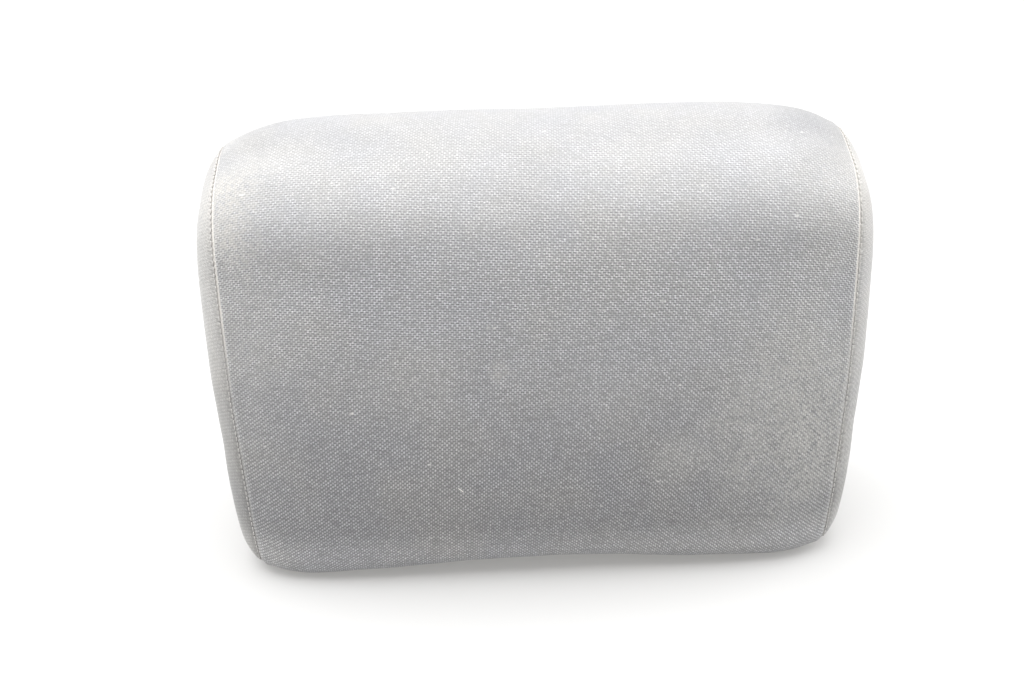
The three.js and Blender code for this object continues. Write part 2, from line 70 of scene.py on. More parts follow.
# %% Sizes of the pad
MM = 0.001
pad_width, pad_depth, pad_height = (1000 * (h - l) for l, h in zip(cad_low, cad_high))
half_width = pad_width / 2
half_depth = pad_depth / 2
base_narrowing = 3.6
waist_height = 87.0
base_corner = 14.0
front_tuck = (133.0, 12.0)
front_lean = (430.0, 10.8)
brow_radius = 33.0
crown_slope = 14.0
shoulder_radius = 42.0
end_squareness = 5.2
top_squareness = 6.9
base_squareness = 12.0
arch_rise = 6.0
arch_half_span = 0.75
arch_fade = 60.0
foot_flat = 1.2
recess_height = 7.0
half_seam_gap = 0.15


def box_mm(node):
    """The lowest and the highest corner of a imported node's box, in millimetres."""
    return (1000 * np.array(corner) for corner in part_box(node))


plate_low, plate_high = box_mm("base_plate")
post_setback = (plate_low[1] + plate_high[1]) / 2
seam_x = 1000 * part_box("main_panel")[1].x + half_seam_gap
print("seams at", round(seam_x, 2), "plate middle at", round(post_setback, 2))

# %% [markdown]
# The side outline is a chain of arcs and straights that turn the same way all round.
# Instead of placing arc centres, the heading is laid out along the outline's length:
# it falls evenly through an arc and stays level through a straight. Summing the
# heading's cosine and sine then gives the outline.

# %% Side outline
def side_legs():
    """Radius, turn and length of each leg, from the underside's middle round the back.

    The straights close the outline: they take up what the arcs leave of the pad's
    depth and height.
    """
    rad = math.radians
    lean_end = rad(90 - front_lean[1])
    slope = rad(crown_slope)
    tuck = rad(front_tuck[1])
    lean_depth = front_lean[0] * (1 - math.sin(lean_end))
    brow_depth = brow_radius * (math.sin(lean_end) - math.sin(slope))
    shoulder_depth = shoulder_radius * (1 + math.sin(slope))
    crown = (pad_depth - lean_depth - brow_depth - shoulder_depth) / math.cos(slope)
    rise = pad_height + foot_flat - crown * math.sin(slope)
    rise -= base_corner * (1 - math.sin(tuck)) + front_tuck[0] * math.sin(tuck)
    rise -= front_lean[0] * math.cos(lean_end) + shoulder_radius * (1 - math.cos(slope))
    rise -= brow_radius * (math.cos(slope) - math.cos(lean_end))
    drop = pad_height + foot_flat - shoulder_radius - base_corner
    front_foot = front_tuck[0] * (1 - math.cos(tuck)) + base_corner * math.cos(tuck)
    rear_base = half_depth - base_corner - post_setback
    front_base = half_depth - front_foot + post_setback
    legs = [
        (0, 0, front_base),
        (base_corner, 90 - front_tuck[1], 0),
        (*front_tuck, 0),
        (0, 0, rise),
        (*front_lean, 0),
        (brow_radius, 90 - front_lean[1] - crown_slope, 0),
        (0, 0, crown),
        (shoulder_radius, 90 + crown_slope, 0),
        (0, 0, drop),
        (base_corner, 90, 0),
        (0, 0, rear_base),
    ]
    return [(r, rad(turn), run if run else r * rad(turn)) for r, turn, run in legs]


def lay_outline(step=0.1):
    """Points and outward directions at even steps along the outline.

    The heading starts towards the front, falls by turn through each arc, and its
    cosine and sine are summed step by step to give depth and height.
    """
    legs = side_legs()
    ends = np.concatenate([[0], np.cumsum([run for _, _, run in legs])])
    turned = np.cumsum([0] + [turn for _, turn, _ in legs])
    headings = math.pi - turned
    length = np.linspace(0, ends[-1], int(ends[-1] / step) + 1)
    middle = (length[1:] + length[:-1]) / 2
    heading = np.interp(middle, ends, headings)
    run = np.diff(length)
    y = post_setback + np.concatenate([[0], np.cumsum(np.cos(heading) * run)])
    z = np.concatenate([[0], np.cumsum(np.sin(heading) * run)])
    at_points = np.interp(length, ends, headings)
    return length, y, z, -np.sin(at_points), np.cos(at_points)


outline_length, outline_y, outline_z, outline_out_y, outline_out_z = lay_outline()
girth = outline_length[-1]
closing_gap = float(abs(outline_y[-1] - outline_y[0]))
print("girth", round(girth, 1), "closes within", round(closing_gap, 3))

# %% [markdown]
# The pad's surface is a function of two parameters: how far along the outline, and
# what share of the half width to the side. Towards the ends the outline shrinks by
# the superellipse rule, in depth by one power and in height by another, so the ends
# are full but round. An arch lifts the underside between the lower corners.

# %% Surface of the pad
normal_step, normal_turn = 0.6, 0.004


def ease(share):
    """A share cut off below 0 and above 1 and eased there: 3 share^2 - 2 share^3."""
    share = np.clip(share, 0, 1)
    return share * share * (3 - 2 * share)


def shrink(share, squareness):
    """What is left of a size at a share of the way out: (1 - share^n)^(1/n)."""
    return np.clip(1 - np.abs(share) ** squareness, 0, 1) ** (1 / squareness)


def share_at(angle):
    """Share of the half width for an angle from the middle, on the unit superellipse."""
    size = np.abs(np.cos(angle)) ** end_squareness + np.abs(np.sin(angle)) ** end_squareness
    return np.sin(angle) * size ** (-1 / end_squareness)


def angle_at(share):
    """The angle that share_at turns into this share."""
    return np.arctan2(share, shrink(share, end_squareness))


def arch_lift(z, share):
    """How far the arch lifts a point: the rise, fading upwards and towards the ends."""
    fade = np.clip((arch_fade - z) / arch_fade, 0, 1) ** 2
    return arch_rise * fade * np.clip(1 - (share / arch_half_span) ** 2, 0, 1)


def pad_surface(length, share, inset=0.0):
    """Points of the pad for lengths along the outline and shares of the half width.

    The outline point moves inwards by the inset along its own outward direction, is
    shrunk about the waist by the superellipse rule, and is lifted by the arch.
    """
    length = np.mod(length, girth)
    y = np.interp(length, outline_length, outline_y)
    z = np.interp(length, outline_length, outline_z)
    y = y - inset * np.interp(length, outline_length, outline_out_y)
    z = z - inset * np.interp(length, outline_length, outline_out_z)
    above = shrink(share, top_squareness)
    below = shrink(share, base_squareness)
    height = waist_height + (z - waist_height) * np.where(z > waist_height, above, below)
    narrowing = base_narrowing / 2 * np.clip(1 - height / waist_height, 0, 1)
    x = share * (half_width - inset - narrowing)
    height = height + arch_lift(z, share) - foot_flat
    return np.stack([x, y * shrink(share, end_squareness), height], -1)


def pad_normal(length, share):
    """Unit outward normals: the cross product of two small steps over the surface."""
    angle = angle_at(share)
    above, below = (pad_surface(length + step, share) for step in (normal_step, -normal_step))
    to_right = share_at(np.minimum(angle + normal_turn, math.pi / 2))
    to_left = share_at(np.maximum(angle - normal_turn, -math.pi / 2))
    across = pad_surface(length, to_right) - pad_surface(length, to_left)
    normal = np.cross(across, above - below)
    size = np.linalg.norm(normal, axis=-1, keepdims=True)
    tip = np.zeros_like(normal)
    tip[..., 0] = np.sign(share)
    return np.where(size > 1e-7, normal / np.maximum(size, 1e-9), tip)


# %% [markdown]
# Meshes are grids of points. A helper turns a grid into quads, adds a UV map in
# metres so that the weave follows the cloth, and shades it smooth. The UV is given
# for each corner of a face before the last row is joined to the first, so the weave
# doesn't run back over the closing faces.

# %% Grid meshes
def add_object(name, data):
    """An object with this data, put into the scene."""
    made = bpy.data.objects.new(name, data)
    bpy.context.scene.collection.objects.link(made)
    return made


def smooth_object(name, mesh):
    """An object whose faces are all shaded smooth."""
    mesh.polygons.foreach_set("use_smooth", np.ones(len(mesh.polygons), dtype=bool))
    mesh.update()
    return add_object(name, mesh)


def grid_faces(rows, columns):
    """Quads between neighbours of a rows by columns grid, as one array."""
    numbers = np.arange(rows * columns).reshape(rows, columns)
    corners = [numbers[:-1, :-1], numbers[:-1, 1:], numbers[1:, 1:], numbers[1:, :-1]]
    return np.stack([c.ravel() for c in corners], -1)


def make_mesh(name, points, faces, uv=None, joined_rows=0):
    """A smooth mesh object from points in millimetres.

    With joined_rows, the points hold that many rows as a closed band: the grid's last
    row is left out and its faces use the first row instead.
    """
    if joined_rows:
        last = (points.shape[0] - 1) * points.shape[1]
        corners = np.where(faces >= last, faces - last, faces)
        points = points[:-1]
    else:
        corners = faces
    flat = points.reshape(-1, 3)
    used = np.unique(corners)
    renumbered = np.zeros(len(flat), dtype=int)
    renumbered[used] = np.arange(len(used))
    mesh = bpy.data.meshes.new(name)
    mesh.from_pydata((flat[used] * MM).tolist(), [], renumbered[corners].tolist())
    if uv is not None:
        layer = mesh.uv_layers.new(name="UVMap")
        spread = uv.reshape(-1, 2)[faces.ravel()] * MM
        layer.data.foreach_set("uv", spread.ravel().astype(np.float32))
    return smooth_object(name, mesh)


# %% [markdown]
# The sewn cover is stretched over foam, which pushes it out between the seams. Cloth
# simulation gives that: a coarse grid of each panel, a little smaller than the pad,
# is held along its seams and inflated. What comes out is kept as a field of small
# moves over the grid, and the fine panel takes its moves from that field. So the
# seams stay exactly where the panels are sewn.

# %% Swell by cloth simulation
swell_inset = 1.0
swell_limit = 2.6
gusset_swell_limit = 1.0
swell_pressure = 4.0
swell_frames = 20
held_below = base_corner / 3
on_rim = 1 - 1e-6


def cloth_moves(points, joined_rows, held, limit):
    """How far cloth, held where the mask says, moves when it is blown out from inside.

    Returns the moves of the grid in millimetres. A soft limit, the limit times the
    hyperbolic tangent of the move over the limit, keeps them from growing too large.
    """
    rows, columns = points.shape[:2]
    made = make_mesh("swell", points, grid_faces(rows, columns), joined_rows=joined_rows)
    kept = rows - 1 if joined_rows else rows
    group = made.vertex_groups.new(name="held")
    group.add(np.flatnonzero(held[:kept].ravel()).tolist(), 1.0, "REPLACE")
    cloth = made.modifiers.new("Cloth", "CLOTH")
    settings = cloth.settings
    settings.quality = 6
    settings.mass = 0.3
    settings.tension_stiffness = 25
    settings.compression_stiffness = 25
    settings.shear_stiffness = 12
    settings.bending_stiffness = 3
    settings.use_pressure = True
    settings.uniform_pressure_force = swell_pressure
    settings.vertex_group_mass = "held"
    settings.effector_weights.gravity = 0
    cloth.collision_settings.use_collision = False
    cloth.point_cache.frame_start = 1
    cloth.point_cache.frame_end = swell_frames
    scene = bpy.context.scene
    for number in range(1, swell_frames + 1):
        scene.frame_set(number)
    shown = made.evaluated_get(bpy.context.evaluated_depsgraph_get()).to_mesh()
    blown = np.empty(kept * columns * 3, dtype=np.float32)
    shown.vertices.foreach_get("co", blown)
    scene.frame_set(1)
    bpy.data.objects.remove(made)
    moves = blown.reshape(kept, columns, 3) / MM - points[:kept]
    size = np.maximum(np.linalg.norm(moves, axis=-1, keepdims=True), 1e-6)
    return moves * limit * np.tanh(size / limit) / size


def field_at(field, row, column, joined_rows):
    """Values of a grid field at fractional rows and columns.

    Each value is the cubic B-spline mean of the four by four grid points around it.
    """
    rows, columns = field.shape[:2]
    first_row, first_column = np.floor(row).astype(int), np.floor(column).astype(int)

    def weights(t):
        return (1 - t) ** 3, 3 * t**3 - 6 * t**2 + 4, -3 * t**3 + 3 * t**2 + 3 * t + 1, t**3

    total = np.zeros(row.shape + (3,))
    for i, down in enumerate(weights(row - first_row)):
        r = first_row + i - 1
        r = r % rows if joined_rows else np.clip(r, 0, rows - 1)
        for j, along in enumerate(weights(column - first_column)):
            c = np.clip(first_column + j - 1, 0, columns - 1)
            total += (down * along / 36)[..., None] * field[r, c]
    return total


# %% [markdown]
# The main panel's coarse grid goes all the way round the pad, between the two seams. It
# is held at the seams and where the cloth is turned in underneath.

# %% Swell of the main panel
seam_share = seam_x / half_width
seam_angle = float(angle_at(np.array(seam_share)))
swell_rows = 124
swell_columns = 45
swell_length = np.arange(swell_rows + 1) / swell_rows * girth
swell_angle = np.linspace(-seam_angle, seam_angle, swell_columns)
coarse_main = pad_surface(swell_length[:, None], share_at(swell_angle)[None, :], swell_inset)
main_moves = np.zeros((swell_rows, swell_columns, 3))
main_held = coarse_main[..., 2] < held_below
main_held[:, [0, -1]] = True
main_moves = cloth_moves(coarse_main, True, main_held, swell_limit)
main_swell = np.linalg.norm(main_moves, axis=-1).round(2)
print("main panel swell in mm, up to", main_swell.max())

# %% [markdown]
# The grids of the panels are chosen so that the points of both fall on each other
# along the seam. The main panel has one row of points for each step round the
# outline. A gusset is a square grid whose rim is laid along the same outline, and its
# rim has just as many steps.

# %% Grids of the panels
gusset_across = 60
gusset_up = 126
outline_steps = 2 * (gusset_across + gusset_up)
outline_step = girth / outline_steps
stitch_pitch = 2 * outline_step
print("step along the seam", round(outline_step, 3), "stitch pitch", round(stitch_pitch, 2))


def gusset_grid(across, up):
    """Lengths along the outline and rings from the tip for the points of a grid.

    The ring is the larger of the two distances from the grid's middle. Each ring is
    walked round from the middle of the base to the front, the top and the back.
    """
    a, b = np.meshgrid(np.linspace(-1, 1, across + 1), np.linspace(-1, 1, up + 1))
    ring = np.maximum(np.abs(a), np.abs(b))
    p, q = a / np.maximum(ring, 1e-9), b / np.maximum(ring, 1e-9)
    half_base, side = across / 2, up
    steps = np.where(q < -on_rim, -p * half_base, 0.0)
    steps = np.where(p < -on_rim, half_base + (q + 1) / 2 * side, steps)
    steps = np.where(q > on_rim, 2 * half_base + side + p * half_base, steps)
    right = (p > on_rim) & (q < on_rim)
    steps = np.where(right, 3 * half_base + side + (1 - q) / 2 * side, steps)
    return np.mod(steps, 2 * (across + up)) / (2 * (across + up)) * girth, ring, a, b


def from_seam(length, share, points):
    """Distance of points from the seam point at the same length along the outline."""
    seam_at = np.where(share < 0, -seam_share, seam_share)
    return np.linalg.norm(points - pad_surface(length, seam_at), axis=-1)


# %% [markdown]
# A gusset swells less, as it is small and stiff. One side is simulated, and the other
# one mirrors it.

# %% Swell of the gussets
coarse_gusset = (gusset_across // 2, gusset_up // 2)
gusset_length, gusset_ring, _, _ = gusset_grid(*coarse_gusset)
gusset_angle = math.pi / 2 + gusset_ring * (seam_angle - math.pi / 2)
coarse_end = pad_surface(gusset_length, share_at(gusset_angle), swell_inset)
gusset_moves = np.zeros(coarse_end.shape)
gusset_held = (gusset_ring > on_rim) | (coarse_end[..., 2] < held_below)
gusset_moves = cloth_moves(coarse_end, False, gusset_held, gusset_swell_limit)
gusset_swell = np.linalg.norm(gusset_moves, axis=-1).round(2)
print("gusset swell in mm, up to", gusset_swell.max())

# %% [markdown]
# Beside each seam the cloth first rises over its folded seam allowance and then drops
# into the seam, and the stitches pucker it a little. The foam under it is never quite
# even, so the face also has very shallow hollows, and two faint dents: the one that the
# photograph shows near the middle, and a broader one lower on the right.

# %% Relief of the cloth
allowance_middle = 2.3
allowance_reach = 1.9
seam_depth = 0.2
seam_reach = 0.7
pucker, pucker_reach = 0.08, 2.4
fade_width = 8.0
broad_bumps = (0.12, 52)
small_bumps = (0.06, 21)
waves_in_bumps = 12
# Each dent has a place, a half length and half width, a turn and a depth.
dents = (
    ((-15.6, -46.7, 100.7), (17.0, 5.0), 0.5, 0.45),
    ((34.0, -47.0, 62.0), (20.0, 12.0), -0.4, 0.3),
)


def seam_relief(distance, length, rise):
    """Height of the cloth at a distance from its seam, in millimetres.

    A bell lifts it over the folded allowance, a steeper one drops it into the seam,
    and a small wave along the seam follows the stitches.
    """
    fold = rise * np.exp(-(((distance - allowance_middle) / allowance_reach) ** 2))
    drop = seam_depth * np.exp(-((distance / seam_reach) ** 2))
    stitches_along = np.cos(2 * np.pi * length / stitch_pitch)
    wave = pucker * stitches_along * np.exp(-distance / pucker_reach)
    return fold * (1 - np.exp(-distance)) - drop + wave


def smooth_bumps(points, height, size, seed):
    """An even, gentle noise: a sum of sine waves in seeded directions over the points."""
    random = np.random.default_rng(seed)
    total = np.zeros(points.shape[:-1])
    for _ in range(waves_in_bumps):
        direction = random.normal(size=3)
        wave_length = size * (0.7 + 0.6 * random.random())
        direction *= 2 * np.pi / wave_length / np.linalg.norm(direction)
        total += np.sin(points @ direction + random.random() * 2 * np.pi)
    return height * total / math.sqrt(waves_in_bumps / 2)


def dent(points, place, half_sizes, turn, depth):
    """A shallow hollow: a bell over an oval in the front view, turned by an angle."""
    x, z = points[..., 0] - place[0], points[..., 2] - place[2]
    along = x * math.cos(turn) + z * math.sin(turn)
    across = z * math.cos(turn) - x * math.sin(turn)
    bell = np.exp(-((along / half_sizes[0]) ** 2) - (across / half_sizes[1]) ** 2)
    return -depth * bell * (points[..., 1] < 0)


def clothed(length, share, moves, rise, seed):
    """Points of a panel: the pad's surface, its swell, and the relief along the normal."""
    points = pad_surface(length, share)
    distance = from_seam(length, share, points)
    fade = ease(distance / fade_width)
    uneven = smooth_bumps(points, *broad_bumps, seed)
    uneven += smooth_bumps(points, *small_bumps, seed + 1)
    uneven += sum(dent(points, *measures) for measures in dents)
    relief = seam_relief(distance, length, rise) + fade * uneven
    return points + moves * fade[..., None] + pad_normal(length, share) * relief[..., None]


# %% [markdown]
# The columns of the main panel stand close together near the seams, where the relief
# is fine, and further apart in the middle. The UV map counts millimetres of cloth:
# across over the front, and along the outline. Over the arch the rows of the weave
# stay level, as the cloth is cut to that shape and not bent.

# %% Main panel
cloth_turn = math.radians(2.9)
finest_step, widest_step, step_growth, evenly_fine = 0.5, 3.0, 30.0, 3
main_fold, main_seed = 0.35, 4


def graded_columns(reach, fine, coarse, turn_width):
    """Places from minus to plus reach whose steps grow from fine at the ends to coarse.

    The step at each place is given, its inverse is summed, and the sum is cut evenly.
    """
    x = np.linspace(0, reach, 4000)
    step = fine + (coarse - fine) * ease((reach - x - evenly_fine) / turn_width)
    count = np.concatenate([[0], np.cumsum(np.diff(x) / (step[1:] + step[:-1]) * 2)])
    half = np.interp(np.linspace(0, count[-1], int(count[-1]) + 1), count, x)
    return np.concatenate([-half[:0:-1], half])


main_x = graded_columns(seam_x, finest_step, widest_step, step_growth)
main_length, main_share = np.meshgrid(
    np.arange(outline_steps + 1) * outline_step, main_x / half_width, indexing="ij")
main_row = np.mod(main_length / girth * swell_rows, swell_rows)
main_column = (angle_at(main_share) + seam_angle) / (2 * seam_angle) * (swell_columns - 1)
main_field = field_at(main_moves, main_row, main_column, True)
main_points = clothed(main_length, main_share, main_field, main_fold, main_seed)
row_height = np.interp(main_length[:, 0], outline_length, outline_z)
waist_row = int(np.argmin(np.abs(row_height - waist_height)))
waist_line = pad_surface(main_length[waist_row], main_share[waist_row])
waist_steps = np.linalg.norm(np.diff(waist_line, axis=0), axis=1)
across_length = np.concatenate([[0], np.cumsum(waist_steps)])
across_length -= across_length[-1] / 2
facing = np.where(main_length < girth / 2, 1, -1)
cloth_length = main_length + facing * arch_lift(row_height[:, None], main_share)
cloth_cos, cloth_sin = math.cos(cloth_turn), math.sin(cloth_turn)
across_cloth = across_length[None, :] + 0 * cloth_length
main_uv = np.stack([across_cloth * cloth_cos - cloth_length * cloth_sin,
                    across_cloth * cloth_sin + cloth_length * cloth_cos], -1)
print("main panel grid", main_points.shape[:2], "cloth width", round(2 * across_length[-1], 1))

# %% [markdown]
# Underneath, the base plate presses a recess into the pad. The cloth there is lifted
# to the plate's back with a soft edge, and inside the plate's outline it is cut away,
# because the carrier comes through. Nothing of the cover reaches below the surface
# that the pad stands on.

# %% Recess and opening in the underside
plate_half_x = (plate_high[0] - plate_low[0]) / 2
plate_half_y = (plate_high[1] - plate_low[1]) / 2
plate_corner = 12.0
plate_overlap = 6.0
opening_corner = 3.0
recess_margin, recess_slope = 0.6, 2.4


def rounded_distance(points, half_x, half_y, radius):
    """Signed distance in plan from a rounded rectangle about the plate's middle."""
    x = np.abs(points[..., 0]) - (half_x - radius)
    y = np.abs(points[..., 1] - post_setback) - (half_y - radius)
    outside = np.hypot(np.maximum(x, 0), np.maximum(y, 0))
    return outside + np.minimum(np.maximum(x, y), 0) - radius


def press_recess(points):
    """Lifts the underside inside the plate's outline to the recess height, softly."""
    plan = (size + recess_margin for size in (plate_half_x, plate_half_y, plate_corner))
    share = ease(0.5 - rounded_distance(points, *plan) / recess_slope)
    z = points[..., 2]
    lifted = z * (1 - share) + np.maximum(z, recess_height) * share
    pressed = points.copy()
    pressed[..., 2] = np.maximum(np.where(z < waist_height / 2, lifted, z), 0.0)
    return pressed


def outside_opening(points, faces):
    """The faces whose middle lies outside the cover's opening."""
    middle = points.reshape(-1, 3)[faces].mean(1)
    half_sizes = plate_half_x - plate_overlap, plate_half_y - plate_overlap
    distance = rounded_distance(middle, *half_sizes, opening_corner)
    return faces[~((distance < 0) & (middle[:, 2] < waist_height / 2))]


main_points = press_recess(main_points)
main_faces = outside_opening(main_points, grid_faces(*main_points.shape[:2]))
print("main panel faces", len(main_faces))

# %% [markdown]
# The rings of a gusset crowd together towards the seam, where the relief is fine. The
# gusset is cut from the same cloth with its threads turned a little, and its UV map
# is its side view.

# %% Gusset panels
crowding = 1.5
gusset_turn = math.radians(9)
gusset_fold, gusset_seed = 0.2, 9
fine_length, fine_ring, fine_a, fine_b = gusset_grid(gusset_across, gusset_up)
spread_ring = 1 - (1 - fine_ring) ** crowding
fine_share = share_at(math.pi / 2 + spread_ring * (seam_angle - math.pi / 2))
fine_share = np.where(fine_ring > on_rim, seam_share, fine_share)
stretch = spread_ring / np.maximum(fine_ring, 1e-9)
fine_field = field_at(
    gusset_moves,
    (fine_b * stretch + 1) / 2 * coarse_gusset[1],
    (fine_a * stretch + 1) / 2 * coarse_gusset[0],
    False,
)
right_gusset_points = press_recess(
    clothed(fine_length, fine_share, fine_field, gusset_fold, gusset_seed))
left_gusset_points = right_gusset_points * (-1, 1, 1)
print("gusset grid", right_gusset_points.shape[:2])


def gusset_uv(points, side):
    """The gusset's own cloth coordinates: depth and height, turned a little."""
    y, z = points[..., 1] * side, points[..., 2]
    c, s = math.cos(gusset_turn), math.sin(gusset_turn)
    return np.stack([y * c - z * s, y * s + z * c], -1)


# %% [markdown]
# Each panel gets a thickness with Solidify, as the cloth is laminated to a thin
# layer of foam, and rides on the one body. The three panels stand for the three
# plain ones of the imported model.

# %% Panels as objects
cover_thickness = 2.4


def finish_panel(made, node):
    """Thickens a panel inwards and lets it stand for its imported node."""
    solid = made.modifiers.new("Thickness", "SOLIDIFY")
    solid.thickness = cover_thickness * MM
    solid.offset = -1
    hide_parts(node)
    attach(made, "root")


main_panel = make_mesh("main_panel_cover", main_points, main_faces, main_uv, joined_rows=1)
finish_panel(main_panel, "main_panel")
gusset_faces = grid_faces(*right_gusset_points.shape[:2])
right_gusset = make_mesh("right_gusset_cover", right_gusset_points, gusset_faces,
                         gusset_uv(right_gusset_points, 1))
left_gusset = make_mesh("left_gusset_cover", left_gusset_points, gusset_faces[:, ::-1],
                        gusset_uv(left_gusset_points, -1))
finish_panel(right_gusset, "right_side_panel")
finish_panel(left_gusset, "left_side_panel")
for piece in (main_panel, right_gusset, left_gusset):
    print(piece.name, len(piece.data.polygons), "faces")

# %% [markdown]
# The seam's thread shows as short, pale stitches at the bottom of the seam. All of
# them are one mesh: a small capsule, worked out once, is placed at every stitch in
# the seam's own directions, which are along it, across it and outwards.

# %% Seam stitches
stitch_length = 1.8
stitch_radius = 0.3
stitch_sides = 8
stitch_rise = 0.5 - seam_depth
lowest_stitch = base_corner / 2
capsule_rings = 5


def capsule(length, radius, sides):
    """Points and faces of a capsule along the first axis, closed at both tips."""
    turn = np.linspace(-np.pi / 2, np.pi / 2, capsule_rings + 2)
    x = np.sin(turn) * radius + np.sign(np.sin(turn).round(6)) * (length / 2 - radius)
    r = (np.cos(turn) * radius)[1:-1, None]
    around = np.arange(sides) / sides * 2 * np.pi
    along = np.broadcast_to(x[1:-1, None], (capsule_rings, sides))
    rings = np.stack([along, r * np.cos(around), r * np.sin(around)], -1).reshape(-1, 3)
    near = np.arange(sides)
    following = (near + 1) % sides
    starts = np.arange(capsule_rings - 1)[:, None] * sides
    body = np.stack([starts + near, starts + following, starts + sides + following,
                     starts + sides + near], -1).reshape(-1, 4)
    low_tip, last_ring = len(rings), len(rings) - sides
    caps = np.stack([following, near, near * 0 + low_tip], -1).tolist()
    high_cap = [last_ring + near, last_ring + following, near * 0 + low_tip + 1]
    caps += np.stack(high_cap, -1).tolist()
    return np.concatenate([rings, [[x[0], 0, 0], [x[-1], 0, 0]]]), body.tolist() + caps


def make_stitches(name, side):
    """Capsules along one seam, each turned to the seam's direction and outward normal."""
    middle = (np.arange(outline_steps // 2) + 0.5) * stitch_pitch
    share = np.full(middle.shape, side * seam_share)
    normal = pad_normal(middle, share)
    ends = [pad_surface(middle + step, share) for step in (-1.0, 1.0)]
    along = (ends[1] - ends[0]) / np.linalg.norm(ends[1] - ends[0], axis=-1, keepdims=True)
    sideways = np.cross(normal, along)
    centre = pad_surface(middle, share) + normal * stitch_rise
    above = centre[:, 2] > lowest_stitch
    template, faces = capsule(stitch_length, stitch_radius, stitch_sides)
    parts = [axis[above][:, None, :] * template[None, :, k, None]
             for k, axis in enumerate((along, sideways, normal))]
    points = centre[above][:, None, :] + sum(parts)
    offsets = np.arange(above.sum()) * len(template)
    all_faces = [[number + int(offset) for number in face]
                 for offset in offsets for face in faces]
    mesh = bpy.data.meshes.new(name)
    mesh.from_pydata((points.reshape(-1, 3) * MM).tolist(), [], all_faces)
    made = smooth_object(name, mesh)
    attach(made, "root")
    print(name, int(above.sum()), "stitches")
    return made


stitches = [make_stitches("left_seam_stitches", -1), make_stitches("right_seam_stitches", 1)]

# %% [markdown]
# The moulded foam inside is hidden by the cover, but it is a soft piece all the same.
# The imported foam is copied, its loose triangles are merged, and a voxel remesh with
# some smoothing gives it the rounded edges of a moulding.

# %% Foam core
foam_voxel = 3.0


def merge_points(source, target, distance, face_outwards=False):
    """Puts a mesh into another one, with points closer than a distance merged."""
    shape = bmesh.new()
    shape.from_mesh(source)
    bmesh.ops.remove_doubles(shape, verts=shape.verts, dist=distance)
    if face_outwards:
        bmesh.ops.recalc_face_normals(shape, faces=shape.faces)
    shape.to_mesh(target)
    shape.free()


def merged_copy(node, name):
    """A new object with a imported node's mesh, its loose triangles merged."""
    mesh = bpy.data.meshes.new(name)
    merge_points(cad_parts[node].data, mesh, 1e-6)
    return add_object(name, mesh)


def apply_modifiers(made):
    """Puts what an object's modifiers give into its mesh and takes them off."""
    shown = made.evaluated_get(bpy.context.evaluated_depsgraph_get())
    mesh = bpy.data.meshes.new_from_object(shown)
    made.modifiers.clear()
    made.data = mesh


foam = merged_copy("foam_core", "moulded_foam_core")
remesh = foam.modifiers.new("Remesh", "REMESH")
remesh.mode = "VOXEL"
remesh.voxel_size = foam_voxel * MM
remesh.use_smooth_shade = True
soften = foam.modifiers.new("Soften", "SMOOTH")
soften.factor = 0.5
soften.iterations = 4
apply_modifiers(foam)
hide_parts("foam_core")
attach(foam, "root")
print("foam core", len(foam.data.polygons), "faces")

# %% [markdown]
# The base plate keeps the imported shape, and a bevel gives its edges the small radius
# of a moulding.

# %% Base plate
edge_radius = 0.35
plate = merged_copy("base_plate", "moulded_base_plate")
dissolve = plate.modifiers.new("Flat faces", "DECIMATE")
dissolve.decimate_type = "DISSOLVE"
dissolve.angle_limit = math.radians(1)
apply_modifiers(plate)
bevel = plate.modifiers.new("Edge radius", "BEVEL")
bevel.width = edge_radius * MM
bevel.segments = 2
bevel.limit_method = "ANGLE"
bevel.angle_limit = math.radians(40)
bevel.harden_normals = True
plate.data.polygons.foreach_set("use_smooth", np.ones(len(plate.data.polygons), dtype=bool))
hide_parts("base_plate")
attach(plate, "root")
print("base plate", len(plate.data.polygons), "faces")

# %% [markdown]
# The post sleeves are turned parts: a profile of radius and height is carried round an
# axis, with its corners cut to small arcs first. A bend between two straights is drawn
# as a curve that starts and ends on them and leans towards the corner.

# %% Turned parts
def turned_points(profile, sides):
    """A closed profile of radius and height carried round the upright axis."""
    turn = np.arange(sides + 1) / sides * 2 * np.pi
    radius, height = np.array(profile).T
    x = radius[None, :] * np.cos(turn)[:, None]
    y = radius[None, :] * np.sin(turn)[:, None]
    return np.stack([x, y, np.broadcast_to(height, x.shape)], -1)


def rounded_profile(corners, radius, steps=3):
    """A closed profile with rounded corners.

    Between a start and an end on the corner's two sides, the curve is
    (1 - t)^2 start + 2 t (1 - t) corner + t^2 end.
    """
    here = np.array(corners, float)
    sides = [np.roll(here, shift, axis=0) - here for shift in (1, -1)]
    lengths = [np.linalg.norm(side, axis=1, keepdims=True) for side in sides]
    reach = np.minimum(radius, np.minimum(*lengths) / 2)
    start, end = (here + side / length * reach for side, length in zip(sides, lengths))
    t = np.linspace(0, 1, steps + 1)[:, None, None]
    curves = (1 - t) ** 2 * start + 2 * t * (1 - t) * here + t**2 * end
    points = curves.transpose(1, 0, 2).reshape(-1, 2)
    return np.concatenate([points, points[:1]])


sleeve_sides = 64
sleeve_low, sleeve_high = box_mm("left_post_sleeve")
sleeve_flange = (sleeve_high[0] - sleeve_low[0]) / 2
sleeve_bore, sleeve_radius, lead_in, flange_thickness = 5.4, 7.4, 1.0, 1.5
sleeve_corners = [
    (sleeve_bore + lead_in, sleeve_low[2]),
    (sleeve_flange, sleeve_low[2]),
    (sleeve_flange, sleeve_low[2] + flange_thickness),
    (sleeve_radius, sleeve_low[2] + flange_thickness),
    (sleeve_radius, sleeve_high[2]),
    (sleeve_bore, sleeve_high[2]),
    (sleeve_bore, sleeve_low[2] + lead_in),
]


